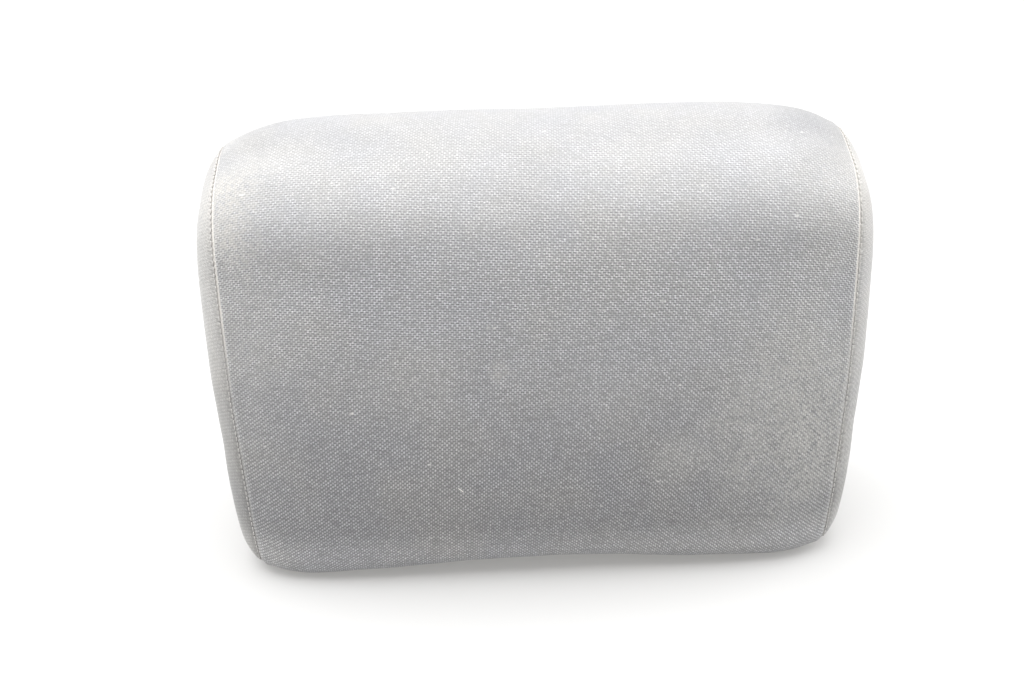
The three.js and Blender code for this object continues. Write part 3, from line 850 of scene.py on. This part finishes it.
def make_turned(name, node, points):
    """One turned part, whose last row of points lies on its first and is merged with it."""
    made = make_mesh(name, points, grid_faces(*points.shape[:2]))
    merge_points(made.data, made.data, 1e-7, face_outwards=True)
    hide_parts(node)
    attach(made, "root")
    return made


sleeves = []
for side_name in ("left", "right"):
    low, high = box_mm(f"{side_name}_post_sleeve")
    place = np.array([(low[0] + high[0]) / 2, (low[1] + high[1]) / 2, 0.0])
    sleeve_points = turned_points(rounded_profile(sleeve_corners, edge_radius), sleeve_sides)
    sleeves.append(make_turned(f"{side_name}_socket_sleeve", f"{side_name}_post_sleeve",
                               sleeve_points + place))
print("sleeves", len(sleeves), "flange radius", round(float(sleeve_flange), 2))

# %% [markdown]
# The screws are turned the same way. Their head has a cross recess pressed into that
# surface, and a wave that climbs round the shank is its thread. Both only move points
# that are there already, so a screw stays one closed surface.

# %% Base screws
screw_shank, screw_pitch, thread_depth = 1.6, 1.25, 0.3
head_radius, head_height, recess_depth = 3.8, 2.2, 1.2
dome_height = 0.6 * head_height
tip_length = 2.2
plain_top = 0.3
head_rim = -0.1
cross_arm, cross_width = 0.55 * head_radius, 0.62
recess_edge, recess_wall = 1.25, 0.35
thread_start, thread_end = 0.6, 1.2
screw_sides = 48


def screw_profile(length):
    """Radius and height from the middle of the head to the tip, head downwards.

    The head is a low dome, the shank is straight, and the tip is a short cone.
    """
    dome = np.linspace(0, 1, 12)
    radius = [head_radius * dome, [head_radius], [screw_shank]]
    height = [-head_height + dome_height * dome**3, [0.0], [0.0]]
    cone = length - tip_length
    shank = np.linspace(plain_top, cone, int((cone - plain_top) / screw_pitch * 8))
    radius += [np.full(shank.shape, screw_shank), np.linspace(screw_shank, 0, 5)[1:]]
    height += [shank, np.linspace(cone, length, 5)[1:]]
    return np.stack([np.concatenate(radius), np.concatenate(height)], -1)


def make_screw(name, node):
    """A screw whose head has a cross recess and whose shank carries a screw thread."""
    low, high = box_mm(node)
    place = np.array([(low[0] + high[0]) / 2, (low[1] + high[1]) / 2, low[2] + head_height])
    length = high[2] - place[2]
    points = turned_points(screw_profile(length), screw_sides)
    x, y, z = points[..., 0], points[..., 1], points[..., 2]
    across = np.minimum(np.maximum(np.abs(x) / cross_arm, np.abs(y) / cross_width),
                        np.maximum(np.abs(y) / cross_arm, np.abs(x) / cross_width))
    pressed = recess_depth * ease((recess_edge - across) / recess_wall)
    points[..., 2] = np.where(z < head_rim, z + pressed, z)
    wave = 0.5 + 0.5 * np.cos(2 * np.pi * z / screw_pitch - np.arctan2(y, x))
    on_shank = (z > thread_start) & (z < length - thread_end)
    scale = np.where(on_shank, 1 - thread_depth / screw_shank * (1 - wave**2), 1.0)
    points[..., :2] *= scale[..., None]
    return make_turned(name, node, points + place)


base_screws = [
    make_screw(f"plate_screw_{side_name}_{end}", f"base_screw_{side_name}_{end}")
    for side_name in ("left", "right") for end in ("front", "rear")
]
print("base screws", len(base_screws), "with", len(base_screws[0].data.polygons), "faces each")

# %% [markdown]
# Materials are made of nodes. Writing every node and link by hand is long and hard to
# read, so one small class names the sums that materials are built from, and a function
# makes a node group with named inputs and outputs. Where a value is given by a label,
# an underscore in the label stands for a space in the socket's name.

# %% Node helpers
class Wiring:
    """Short ways to add nodes to one tree and join them."""

    def __init__(self, tree):
        self.tree = tree

    def put(self, value, socket):
        """Joins another node's output to a socket, or sets the socket to a plain value."""
        if isinstance(value, bpy.types.NodeSocket):
            self.tree.links.new(value, socket)
        else:
            socket.default_value = value

    def feed(self, node, **values):
        """Joins or sets the inputs of a node that have these labels."""
        for label, value in values.items():
            self.put(value, node.inputs[label.replace("_", " ")])
        return node

    def add(self, kind, *values, **settings):
        """A new node with these settings, whose first inputs are joined or set."""
        node = self.tree.nodes.new("ShaderNode" + kind)
        for label, setting in settings.items():
            setattr(node, label, setting)
        for value, socket in zip(values, node.inputs):
            self.put(value, socket)
        return node

    def math(self, operation, *values, clamp=False):
        return self.add("Math", *values, operation=operation, use_clamp=clamp).outputs[0]

    def times(self, product, *factors):
        """The product of values."""
        for factor in factors:
            product = self.math("MULTIPLY", product, factor)
        return product

    def times_add(self, value, factor, shift):
        return self.math("MULTIPLY_ADD", value, factor, shift)

    def about_one(self, value, span):
        """A value between 0 and 1 as a factor between 1 - span/2 and 1 + span/2."""
        return self.times_add(value, span, 1 - span / 2)

    def vector(self, operation, first, second):
        node = self.add("VectorMath", first, second, operation=operation)
        single = operation in ("DISTANCE", "DOT_PRODUCT")
        return node.outputs["Value"] if single else node.outputs[0]

    def scale(self, vector, factor):
        """A vector or a colour times one value."""
        node = self.add("VectorMath", vector, operation="SCALE")
        return self.feed(node, Scale=factor).outputs[0]

    def combine(self, x, y, z):
        return self.add("CombineXYZ", x, y, z).outputs[0]

    def parts(self, vector):
        return self.add("SeparateXYZ", vector).outputs

    def noise(self, vector, scale, detail=2.0, roughness=0.5, output="Fac"):
        node = self.add("TexNoise")
        self.feed(node, Vector=vector, Scale=scale, Detail=detail, Roughness=roughness)
        return node.outputs[output]

    def white_noise(self, vector):
        """A random value between 0 and 1 for each pair of whole numbers."""
        return self.add("TexWhiteNoise", vector, noise_dimensions="2D").outputs["Value"]

    def cells(self, vector, scale, feature="F1"):
        """Voronoi cells: how far it is to the nearest middle, and a colour for each."""
        node = self.add("TexVoronoi", feature=feature)
        return self.feed(node, Vector=vector, Scale=scale).outputs

    def remap(self, value, low, high, to_low=0.0, to_high=1.0):
        """An S-curve that is to_low at low and to_high at high, and level past both."""
        limits = (low, high, to_low, to_high)
        return self.add("MapRange", value, *limits, interpolation_type="SMOOTHSTEP").outputs[0]

    def mix(self, factor, first, second):
        """Two colours, the first where the factor is 0 and the second where it is 1."""
        node = self.add("Mix", factor, data_type="RGBA")
        self.put(first, node.inputs[6])
        self.put(second, node.inputs[7])
        return node.outputs[2]

    def place(self, group, **values):
        """A group's outputs, once it stands in the tree and its inputs have their values."""
        return self.feed(self.add("Group", node_tree=group), **values).outputs

    def bump(self, shader, height, strength, distance):
        """A Bump node from a height to the shader's normal."""
        node = self.feed(self.add("Bump"), Strength=strength, Distance=distance, Height=height)
        self.feed(shader, Normal=node.outputs["Normal"])


def new_group(name, inputs, outputs):
    """A shader node group, its wiring, what it is given and what it puts out.

    Inputs without a default are vectors. The others, and all outputs, are values.
    """
    group = bpy.data.node_groups.new(name, "ShaderNodeTree")
    for label, default in inputs.items():
        kind = "NodeSocketVector" if default is None else "NodeSocketFloat"
        socket = group.interface.new_socket(label, in_out="INPUT", socket_type=kind)
        if default is not None:
            socket.default_value = default
    for label in outputs:
        group.interface.new_socket(label, in_out="OUTPUT", socket_type="NodeSocketFloat")
    given = group.nodes.new("NodeGroupInput").outputs
    return group, Wiring(group), given, group.nodes.new("NodeGroupOutput").inputs


# %% [markdown]
# The weave is one node group for every cloth on the pad. In plain weave the two sets
# of threads go over each other by turns, like the fields of a chessboard. Seen from
# where the photograph was taken, that makes level rows, fainter columns, and a slanting
# wave to either side. So the group adds up those four waves instead of drawing each
# thread, and gives every crossing its own brightness. It works on the UV map, counted
# in threads, and bends the threads a little, as woven cloth is never even.

# %% Weave group
row_share = 0.22
column_share = 0.12
rising_shares = (0.17, 0.058)
falling_shares = (0.114, 0.18)
bend_scale = 0.42
least_crossing = 0.5
slub_stretch = (0.14, 0.8, 0.0)
crossing_part = 0.4


def build_weave():
    """Plain weave from a UV map in metres.

    With u and v counted in threads, the waves are a share for the rows times
    -cos(2 pi v), one for the columns times cos(2 pi u), one for the rising slant times
    cos(pi (u - v)) and one for the falling slant times cos(pi (u + v)). The slants'
    shares run from their first value at a lean of 0 to their last at 1. Height is half
    plus the waves, which are stronger at some crossings than at others.
    """
    group, w, given, out = new_group(
        "plain weave",
        {"Cloth": None, "Pitch": 0.0009, "Unevenness": 0.2, "Rows": 1.0, "Lean": 0.5},
        ("Height", "Variation"),
    )
    pitch = w.combine(given["Pitch"], given["Pitch"], given["Pitch"])
    threads = w.vector("DIVIDE", given["Cloth"], pitch)
    bend = w.vector("SUBTRACT", w.noise(threads, bend_scale, output="Color"), (0.5, 0.5, 0.5))
    u, v, _ = w.parts(w.vector("ADD", threads, w.scale(bend, given["Unevenness"])))
    rising_share, falling_share = (
        w.times_add(given["Lean"], last - first, first)
        for first, last in (rising_shares, falling_shares)
    )
    counted = (
        (w.times(v, 2.0), w.times(given["Rows"], -row_share)),
        (w.times(u, 2.0), column_share),
        (w.math("SUBTRACT", u, v), rising_share),
        (w.math("ADD", u, v), falling_share),
    )
    waves = 0.0
    for count, share in counted:
        waves = w.times_add(w.math("COSINE", w.times(count, math.pi)), share, waves)
    crossing = w.white_noise(w.combine(w.math("ROUND", u), w.math("FLOOR", v), 0.0))
    height = w.times_add(waves, w.math("ADD", crossing, least_crossing), 0.5)
    slubs = w.noise(w.vector("MULTIPLY", threads, slub_stretch), 1.0, roughness=0.6)
    variation = w.times_add(crossing, crossing_part, w.times(slubs, 1 - crossing_part))
    w.put(height, out["Height"])
    w.put(variation, out["Variation"])
    return group


weave_group = build_weave()
print("weave group", len(weave_group.nodes), "nodes")

# %% [markdown]
# Wear, lint and grain are groups too. A worn patch is a ball round the place that was
# rubbed, broken up by noise. Lint is a scatter of very small light fibres: a speck in
# few of the cells of a Voronoi pattern that is drawn out to one side. One longer fibre
# has a group of its own. The grain of moulded plastic is small, soft Voronoi bumps.

# %% Wear, lint and grain groups
raggedness = 1.1
worn_edge = 1.05
fleck_range = (0.25, 0.7)
lint_stretch, lint_bend, lint_density = (0.45, 1.0, 1.0), 0.0035, 330.0
fibre_fade = (1.0, 0.6)


def build_worn_patch():
    """How worn the cloth is near one place: 1 in the middle, 0 past the reach."""
    group, w, given, out = new_group(
        "worn patch", {"Position": None, "Place": None, "Reach": 0.03}, ("Wear",))
    position = given["Position"]
    share = w.math("DIVIDE", w.vector("DISTANCE", position, given["Place"]), given["Reach"])
    ragged = w.times_add(w.noise(position, 60.0, detail=3.0, roughness=0.6),
                         raggedness, -raggedness / 2)
    wear = w.remap(w.math("ADD", share, ragged), worn_edge, 0.0)
    flecks = w.remap(w.noise(position, 700.0, roughness=0.6), *fleck_range)
    w.put(w.times(wear, flecks), out["Wear"])
    return group


def build_lint():
    """Small light fibres, scattered: 1 on a fibre, 0 elsewhere."""
    group, w, given, out = new_group(
        "lint fibres", {"Position": None, "Size": 0.2, "Share": 0.04}, ("Fibre",))
    drawn_out = w.vector("MULTIPLY", given["Position"], lint_stretch)
    bent = w.scale(w.noise(given["Position"], 240.0, detail=1.0, output="Color"), lint_bend)
    cells = w.cells(w.vector("ADD", drawn_out, bent), lint_density)
    near = w.remap(cells["Distance"], given["Size"], 0.05)
    rare = w.math("LESS_THAN", w.parts(cells["Color"])[0], given["Share"])
    w.put(w.times(near, rare), out["Fibre"])
    return group


def build_stray_fibre():
    """1 on one loose fibre, which is a straight line between two points, else 0.

    The nearest place on the line is its start plus the line times a share, which is
    the dot product of the way there with the line, over the line's squared length.
    """
    group, w, given, out = new_group(
        "stray fibre", {"Position": None, "Start": None, "End": None, "Radius": 0.0002},
        ("Fibre",))
    line = w.vector("SUBTRACT", given["End"], given["Start"])
    there = w.vector("SUBTRACT", given["Position"], given["Start"])
    share = w.math("DIVIDE", w.vector("DOT_PRODUCT", there, line),
                   w.vector("DOT_PRODUCT", line, line), clamp=True)
    away = w.vector("DISTANCE", there, w.scale(line, share))
    w.put(w.remap(w.math("DIVIDE", away, given["Radius"]), *fibre_fade), out["Fibre"])
    return group


def build_grain():
    """Moulded grain: a height of fine bumps, and broad faint shade."""
    group, w, given, out = new_group(
        "surface grain", {"Position": None, "Scale": 900.0}, ("Height", "Shade"))
    scaled = w.scale(given["Position"], given["Scale"])
    bumps = w.cells(scaled, 5.0, "SMOOTH_F1")["Distance"]
    w.put(w.times_add(w.noise(scaled, 2.0), 0.5, bumps), out["Height"])
    w.put(w.noise(given["Position"], 45.0, detail=4.0, roughness=0.6), out["Shade"])
    return group


worn_patch_group = build_worn_patch()
lint_group = build_lint()
stray_fibre_group = build_stray_fibre()
grain_group = build_grain()

# %% [markdown]
# The cloth's colour is a neutral grey times the weave's height, so threads are pale
# and the gaps between them dark. Broad faint patches are a little cooler or warmer.
# Four steps of painted light and shade run up the pad: painted light at the very foot,
# painted shade low down, painted light at the brow and painted shade over the top, and
# painted shade darkens both upper corners. Where the cloth is rubbed it turns paler and
# warmer, and its weave is blurred by loose fibres. Small pale patches are dust, and the
# broad ones on the front's right and on the upper ends are painted light. Painted light
# lifts the rims beside the upper seams. Woven cloth also has a soft fuzz that shines at
# glancing angles, which is the shader's sheen.
#
# Heights and widths are object coordinates in metres. A value that ends in up or across
# gives where an S-curve starts and ends that way, and then its value at both.

# %% Values of the woven cloth
thread_pitch, thread_unevenness = 0.000892, 0.6
weave_mean, slub_gain = 0.9, 0.55
fuzz_scale, fuzz_span = 2600.0, 0.7
patch_scale, patch_span = 34.0, 0.18
hue_scale, hue_range = 36.0, (0.3, 0.7)
dust_and_light_relief, worn_relief = (0.35, 0.475), (0.3, 0.8)
lint_size, lint_share, lint_strength = 0.2, 0.05, 0.65
cover_grey = (0.490, 0.490, 0.496)
# The gussets' grey is paler than the cover's as painted light on the ends.
gusset_grey_with_painted_light = (0.535, 0.527, 0.514)
# The worn grey is also the base of the painted light on the seam rims.
worn_and_rim_light_grey = (0.61, 0.587, 0.553)
dust_and_light_grey = (0.74, 0.728, 0.70)
cool, warm = (0.994, 0.994, 1.010), (1.014, 1.002, 0.984)
lint_white = (0.86, 0.85, 0.82, 1.0)
rows_up = (0.055, 0.14, 0.15, 1.0)
lean_across = (-0.11, 0.11)
deep_up = (0.05, 0.125, 1.3, 1.0)
fuzz_up, fuzz_share = (0.130, 0.172), 0.50
# Painted shade towards the pad's foot, down to each cloth's foot share.
painted_foot_shade_up = (0.045, 0.115)
# Painted light at the foot, painted shade low down, painted light at the brow and painted shade
# over the top.
painted_light_and_shade_up = (
    (0.012, 0.031, 1.45, 1.0),
    (0.035, 0.135, 0.745, 0.985),
    (0.148, 0.163, 1.0, 1.08),
    (0.170, 0.176, 1.0, 0.87),
)
# Painted shade over both upper corners.
corner_up, corner_shade = (0.158, 0.170), 0.24
right_corner_across, left_corner_across = (0.08, 0.112), (-0.08, -0.112, 0.0, 0.45)
# Painted light on the rims beside the upper seams.
rim_start, rim_end, rim_up, rim_light_gain = 0.0017, 0.0011, (0.085, 0.125, 0.15, 0.9), 1.35
fibre_start, fibre_end = (-0.0326, -0.0482, 0.0497), (-0.0310, -0.0482, 0.0481)
fibre_radius = 0.00028
# Each place has its position, its reach and its strength.
worn_places = (
    ((-0.1105, -0.024, 0.160), 0.018, 0.6),
    ((-0.1090, -0.033, 0.151), 0.013, 0.5),
    ((0.1100, -0.021, 0.163), 0.018, 0.2),
    ((-0.0156, -0.0467, 0.1007), 0.007, 0.5),
)
# Pale patches: the small ones are dust, the broad ones are painted light.
dust_and_light_places = (
    ((0.0557, -0.0479, 0.0602), 0.020, 0.50),
    ((0.0755, -0.0473, 0.0747), 0.024, 0.40),
    ((0.1020, -0.0440, 0.0680), 0.062, 0.95),
    ((-0.1130, -0.0400, 0.0700), 0.040, 0.30),
    ((-0.1130, -0.0380, 0.1100), 0.036, 0.42),
    ((-0.1290, -0.0100, 0.1400), 0.062, 1.0),
    ((0.1230, -0.0200, 0.1420), 0.046, 0.40),
    ((0.0230, -0.0480, 0.0900), 0.026, 0.22),
    ((-0.0420, -0.0480, 0.0980), 0.024, 0.18),
)
print("worn places", len(worn_places), "dusty places", len(dust_and_light_places))

# %% [markdown]
# Every material starts with the same few nodes, so a helper makes them. Another one
# takes the strongest of several worn patches at each point.

# %% Material helpers
def new_material(name):
    """A material with its wiring, its shader and its coordinates."""
    material = bpy.data.materials.new(name)
    material.use_nodes = True
    w = Wiring(material.node_tree)
    shader = material.node_tree.nodes["Principled BSDF"]
    return material, w, shader, w.add("TexCoord").outputs


def shaded(grey, shares):
    """A colour with each part times a share."""
    return tuple(c * k for c, k in zip(grey, shares)) + (1.0,)


def strongest(w, position, places):
    """The greatest wear among placed patches, each times its own strength."""
    greatest = 0.0
    for place, reach, strength in places:
        patch = w.place(worn_patch_group, Position=position, Place=place, Reach=reach)
        greatest = w.math("MAXIMUM", greatest, w.times(patch["Wear"], strength))
    return greatest


# %% [markdown]
# Both cloths come from one function. The gussets' is a little paler than the main
# panel's, which is painted light, its threads show less, and painted shade darkens it
# towards the pad's foot.

# %% Woven cloth
def cloth_material(name, grey, contrast, foot, edge=None):
    """Woven cloth: weave, faint patches, fuzz, pale patches of dust and of painted light,
    painted light and shade, worn places and lint over one grey.

    Foot is the share of brightness that painted shade leaves at the pad's foot. With an
    edge, which is half the cloth's width, painted light lifts the last millimetre and a
    half before it. The way across is the UV's dot product with the turned cloth's own
    first direction.
    """
    material, w, shader, coordinates = new_material(name)
    position, cloth = coordinates["Object"], coordinates["UV"]
    sideways, forwards, upwards = w.parts(position)
    threads = w.place(weave_group, Cloth=cloth, Pitch=thread_pitch,
                      Unevenness=thread_unevenness, Rows=w.remap(upwards, *rows_up),
                      Lean=w.remap(sideways, *lean_across))
    height = threads["Height"]
    depth = w.times(w.remap(upwards, *fuzz_up, contrast, contrast * fuzz_share),
                    w.remap(upwards, *deep_up))
    slubs = w.times(w.math("SUBTRACT", threads["Variation"], 0.5), depth)
    fuzz = w.noise(position, fuzz_scale)
    # Painted shade over both upper corners.
    corner = w.times(w.math("MAXIMUM", w.remap(sideways, *right_corner_across),
                            w.remap(sideways, *left_corner_across)),
                     w.remap(upwards, *corner_up))
    brightness = w.times(
        w.times_add(w.math("SUBTRACT", height, 0.5), depth, weave_mean),
        w.times_add(slubs, slub_gain, 1.0),
        w.about_one(fuzz, fuzz_span),
        w.about_one(w.noise(position, patch_scale, detail=4.0, roughness=0.6), patch_span),
        # Painted light and shade in steps up the pad.
        *(w.remap(upwards, *step_up) for step_up in painted_light_and_shade_up),
        # Painted shade towards the foot.
        w.remap(upwards, *painted_foot_shade_up, foot, 1.0),
        w.times_add(corner, -corner_shade, 1.0),
    )
    hue = w.remap(w.noise(position, hue_scale, detail=4.0, roughness=0.6), *hue_range)
    color = w.scale(w.mix(hue, shaded(grey, cool), shaded(grey, warm)), brightness)
    # Pale patches of dust and of painted light.
    dust_and_light = w.scale(dust_and_light_grey, w.times_add(brightness, *dust_and_light_relief))
    color = w.mix(strongest(w, position, dust_and_light_places), color, dust_and_light)
    pale = w.scale(worn_and_rim_light_grey, w.times_add(height, *worn_relief))
    color = w.mix(strongest(w, position, worn_places), color, pale)
    # Painted light on the rims beside the upper seams.
    if edge:
        across = w.math("ABSOLUTE", w.vector("DOT_PRODUCT", cloth, (cloth_cos, cloth_sin, 0.0)))
        rim_light = w.times(w.remap(across, edge - rim_start, edge - rim_end),
                         w.remap(upwards, *rim_up))
        color = w.mix(rim_light, color, shaded(worn_and_rim_light_grey, [rim_light_gain] * 3))
    lint = w.place(lint_group, Position=position, Size=lint_size, Share=lint_share)["Fibre"]
    color = w.mix(w.times(lint, lint_strength), color, lint_white)
    front_view = w.combine(sideways, fibre_start[1], upwards)
    stray = w.place(stray_fibre_group, Position=front_view, Start=fibre_start, End=fibre_end,
                    Radius=fibre_radius)["Fibre"]
    in_front = w.math("LESS_THAN", forwards, 0.0)
    color = w.mix(w.times(stray, in_front), color, lint_white)
    w.feed(shader, Base_Color=color, Roughness=0.92, Specular_IOR_Level=0.25,
           Sheen_Weight=0.35, Sheen_Roughness=0.45)
    w.bump(shader, w.times_add(fuzz, 0.25, height), strength=0.5, distance=0.0002)
    return material


main_cloth = cloth_material("grey woven cloth", cover_grey, contrast=1.1, foot=1.0,
                            edge=across_length[-1] * MM)
# The gussets' paler grey is painted light, and their foot share is painted shade.
gusset_cloth = cloth_material("grey woven gusset cloth", gusset_grey_with_painted_light, contrast=0.42, foot=0.78)
main_panel.data.materials.append(main_cloth)
for piece in (left_gusset, right_gusset):
    piece.data.materials.append(gusset_cloth)

# %% [markdown]
# The thread of the seams is spun, so its stitches have a fine slanted ply. The foam
# is open cells: small dark pits in a pale yellow, browner where air and light reach
# it.

# %% Thread and foam
thread_grey = (0.66, 0.645, 0.62)
ply_angle_per_metre = 9000.0


def thread_material():
    """Spun thread: a slanted ply along its length over a pale warm grey."""
    material, w, shader, coordinates = new_material("pale sewing thread")
    x, y, z = w.parts(coordinates["Object"])
    slant = w.math("ADD", x, w.math("ADD", y, z))
    ply = w.math("SINE", w.times(slant, ply_angle_per_metre))
    spun = w.times_add(ply, 0.12, 0.9)
    w.feed(shader, Base_Color=w.scale(thread_grey, spun), Roughness=0.7)
    w.bump(shader, ply, strength=0.3, distance=0.00005)
    return material


def foam_material():
    """Moulded foam: open cells as pits, with a broad change from cream to tan."""
    material, w, shader, coordinates = new_material("moulded seat foam")
    position = coordinates["Object"]
    pits = w.remap(w.cells(position, 900.0)["Distance"], 0.15, 0.5)
    aged = w.remap(w.noise(position, 20.0, detail=4.0), 0.3, 0.7)
    color = w.mix(aged, (0.78, 0.70, 0.46, 1.0), (0.68, 0.55, 0.30, 1.0))
    w.feed(shader, Base_Color=w.scale(color, w.times_add(pits, 0.35, 0.7)), Roughness=0.95)
    w.bump(shader, pits, strength=0.6, distance=0.0004)
    return material


thread = thread_material()
for piece in stitches:
    piece.data.materials.append(thread)
foam.data.materials.append(foam_material())

# %% [markdown]
# The hard parts have four kinds of finish. Moulded plastic has a fine grain and a
# few lighter scuffs. Drawn steel tube is bright with fine lines along its length.
# Spring steel is darker and blued in patches. Zinc plating on the screws is yellowish
# with a mottled gloss.

# %% Hard finishes
scuff_stretch, scuff_range, scuff_strength = (1.0, 6.0, 1.0), (0.66, 0.78), 0.35


def plastic_material(name, color, roughness, grain_scale, grain_depth):
    """Moulded plastic: grain in the bump, broad shade in colour and roughness."""
    material, w, shader, coordinates = new_material(name)
    position = coordinates["Object"]
    grain = w.place(grain_group, Position=position, Scale=grain_scale)
    streaked = w.vector("MULTIPLY", position, scuff_stretch)
    streaks = w.noise(streaked, 90.0, detail=5.0, roughness=0.7)
    scuff = w.times(w.remap(streaks, *scuff_range), scuff_strength)
    lighter = tuple(0.7 * c + 0.12 for c in color) + (1.0,)
    base = w.scale(color, w.about_one(grain["Shade"], 0.3))
    w.feed(shader, Base_Color=w.mix(scuff, base, lighter),
           Roughness=w.times_add(grain["Shade"], 0.25, roughness - 0.12))
    w.bump(shader, grain["Height"], strength=0.35, distance=grain_depth)
    return material


def metal_material(name, bright, dull, roughness, stretch):
    """Metal whose colour and gloss change along drawn-out noise."""
    material, w, shader, coordinates = new_material(name)
    position = coordinates["Object"]
    drawn = w.noise(w.vector("MULTIPLY", position, stretch), 300.0, detail=4.0, roughness=0.6)
    patches = w.remap(w.noise(position, 120.0, detail=3.0), 0.4, 0.65)
    w.feed(shader, Base_Color=w.mix(patches, bright + (1.0,), dull + (1.0,)), Metallic=1.0,
           Roughness=w.times_add(drawn, 0.3, roughness - 0.15))
    w.bump(shader, drawn, strength=0.2, distance=0.00005)
    return material


plastics = (
    ("base plate plastic", (0.022, 0.022, 0.024), 0.55, 1400.0, 0.00012),
    ("carrier plastic", (0.016, 0.016, 0.017), 0.5, 900.0, 0.00006),
    ("sleeve plastic", (0.028, 0.028, 0.031), 0.4, 1800.0, 0.00005),
    ("closing strip plastic", (0.66, 0.66, 0.63), 0.5, 700.0, 0.00004),
)
metals = (
    ("drawn guide steel", (0.60, 0.61, 0.62), (0.48, 0.49, 0.50), 0.35, (4.0, 4.0, 0.1)),
    ("spring steel", (0.45, 0.47, 0.50), (0.27, 0.30, 0.37), 0.35, (4.0, 4.0, 0.3)),
    ("zinc plating", (0.72, 0.70, 0.60), (0.60, 0.55, 0.40), 0.4, (1.0, 1.0, 1.0)),
)
finishes = {row[0]: plastic_material(*row) for row in plastics}
finishes.update({row[0]: metal_material(*row) for row in metals})
plate.data.materials.append(finishes["base plate plastic"])
for piece in sleeves:
    piece.data.materials.append(finishes["sleeve plastic"])
for piece in base_screws:
    piece.data.materials.append(finishes["zinc plating"])

packed_finishes = {
    "carrier plastic": ("carrier_front_half", "carrier_rear_half"),
    "closing strip plastic": ("front_closing_strip", "rear_closing_strip"),
    "drawn guide steel": ("left_post_guide", "right_post_guide"),
    "spring steel": ("left_detent_spring", "right_detent_spring"),
    "zinc plating": [f"carrier_screw_{place}" for place in
                     ("left_low", "left_high", "right_low", "right_high")],
}
for finish, nodes in packed_finishes.items():
    for node in nodes:
        for packed_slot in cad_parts[node].material_slots:
            packed_slot.material = finishes[finish]
print("packed nodes with a new finish", sum(map(len, packed_finishes.values())))

# %% [markdown]
# The camera stands where the photograph was taken from: in front, above, a little to
# the left, and tipped by a degree and a half.

# %% Camera
camera_place = Vector((-0.0212, -0.4591, 0.3548))
camera_heading = math.radians(-1.45)
camera_elevation = math.radians(30.43)
camera_roll = math.radians(-1.47)
camera_data = bpy.data.cameras.new("photo camera")
camera_data.sensor_width = 36
camera_data.lens = 46.76
camera = add_object("photo camera", camera_data)
tilt = Matrix.Rotation(math.pi / 2 - camera_elevation, 4, "X")
turn = Matrix.Rotation(camera_heading, 4, "Z") @ tilt @ Matrix.Rotation(camera_roll, 4, "Z")
camera.matrix_world = Matrix.Translation(camera_place) @ turn
bpy.context.scene.camera = camera
print("camera at", [round(part, 3) for part in camera_place])

# %% [markdown]
# A very broad light comes from above, so the top is almost white and the front
# darkens downwards, as in the photograph. Two weaker ones light the ends from the
# sides, and the room's own light fills the front. A broad sun lamp gives soft shadows
# and the same light all over the floor, which a nearby lamp wouldn't.

# %% Lights
def broad_light(name, direction, spread, level):
    """A sun from a direction. At level 1 a white surface that faces it renders white."""
    data = bpy.data.lights.new(name, "SUN")
    data.angle = math.radians(spread)
    data.energy = math.pi * level
    lamp = add_object(name, data)
    lamp.rotation_euler = Vector(direction).to_track_quat("Z", "Y").to_euler()


broad_light("overhead light", (-0.12, 0.0, 1.0), spread=60, level=1.33)
broad_light("left light", (-0.85, 0.20, 0.45), spread=50, level=0.30)
broad_light("right light", (0.85, 0.20, 0.45), spread=50, level=0.59)

# %% [markdown]
# The photograph's background is plain white, but a room that bright would wash out the
# pad. So the room is white where the camera sees it and dimmer where it only lights the
# pad, and the table under the pad glows a little, but only towards the camera.

# %% World and floor
room_level = 0.36
floor_half = 3000.0
floor_height = -0.05
floor_grey = 0.46
floor_glow = 0.29


def seen_directly(w):
    """1 for what the camera sees straight, in a gloss or through glass, else 0."""
    path = w.add("LightPath").outputs
    seen = w.math("MAXIMUM", path["Is Camera Ray"], path["Is Glossy Ray"])
    return w.math("MAXIMUM", seen, path["Is Transmission Ray"])


world = bpy.data.worlds.new("white room")
bpy.context.scene.world = world
world.use_nodes = True
room = Wiring(world.node_tree)
room.feed(world.node_tree.nodes["Background"], Color=(1.0, 1.0, 1.0, 1.0),
          Strength=room.times_add(seen_directly(room), 1.0 - room_level, room_level))

corners = np.array([[-1, -1], [1, -1], [1, 1], [-1, 1]]) * floor_half
floor_points = np.column_stack([corners, np.full(4, floor_height)])
floor = make_mesh("floor", floor_points, np.array([[0, 1, 2, 3]]))
floor_material, table, floor_shader, _ = new_material("white table")
table.feed(floor_shader, Base_Color=shaded((1.0, 1.0, 1.0), [floor_grey] * 3),
           Roughness=1.0, Specular_IOR_Level=0.0, Emission_Color=(1.0, 0.985, 0.955, 1.0),
           Emission_Strength=table.times(seen_directly(table), floor_glow))
floor.data.materials.append(floor_material)

# %% [markdown]
# The Standard view shows the colours as they were set.

# %% Colour view
bpy.context.scene.view_settings.view_transform = "Standard"
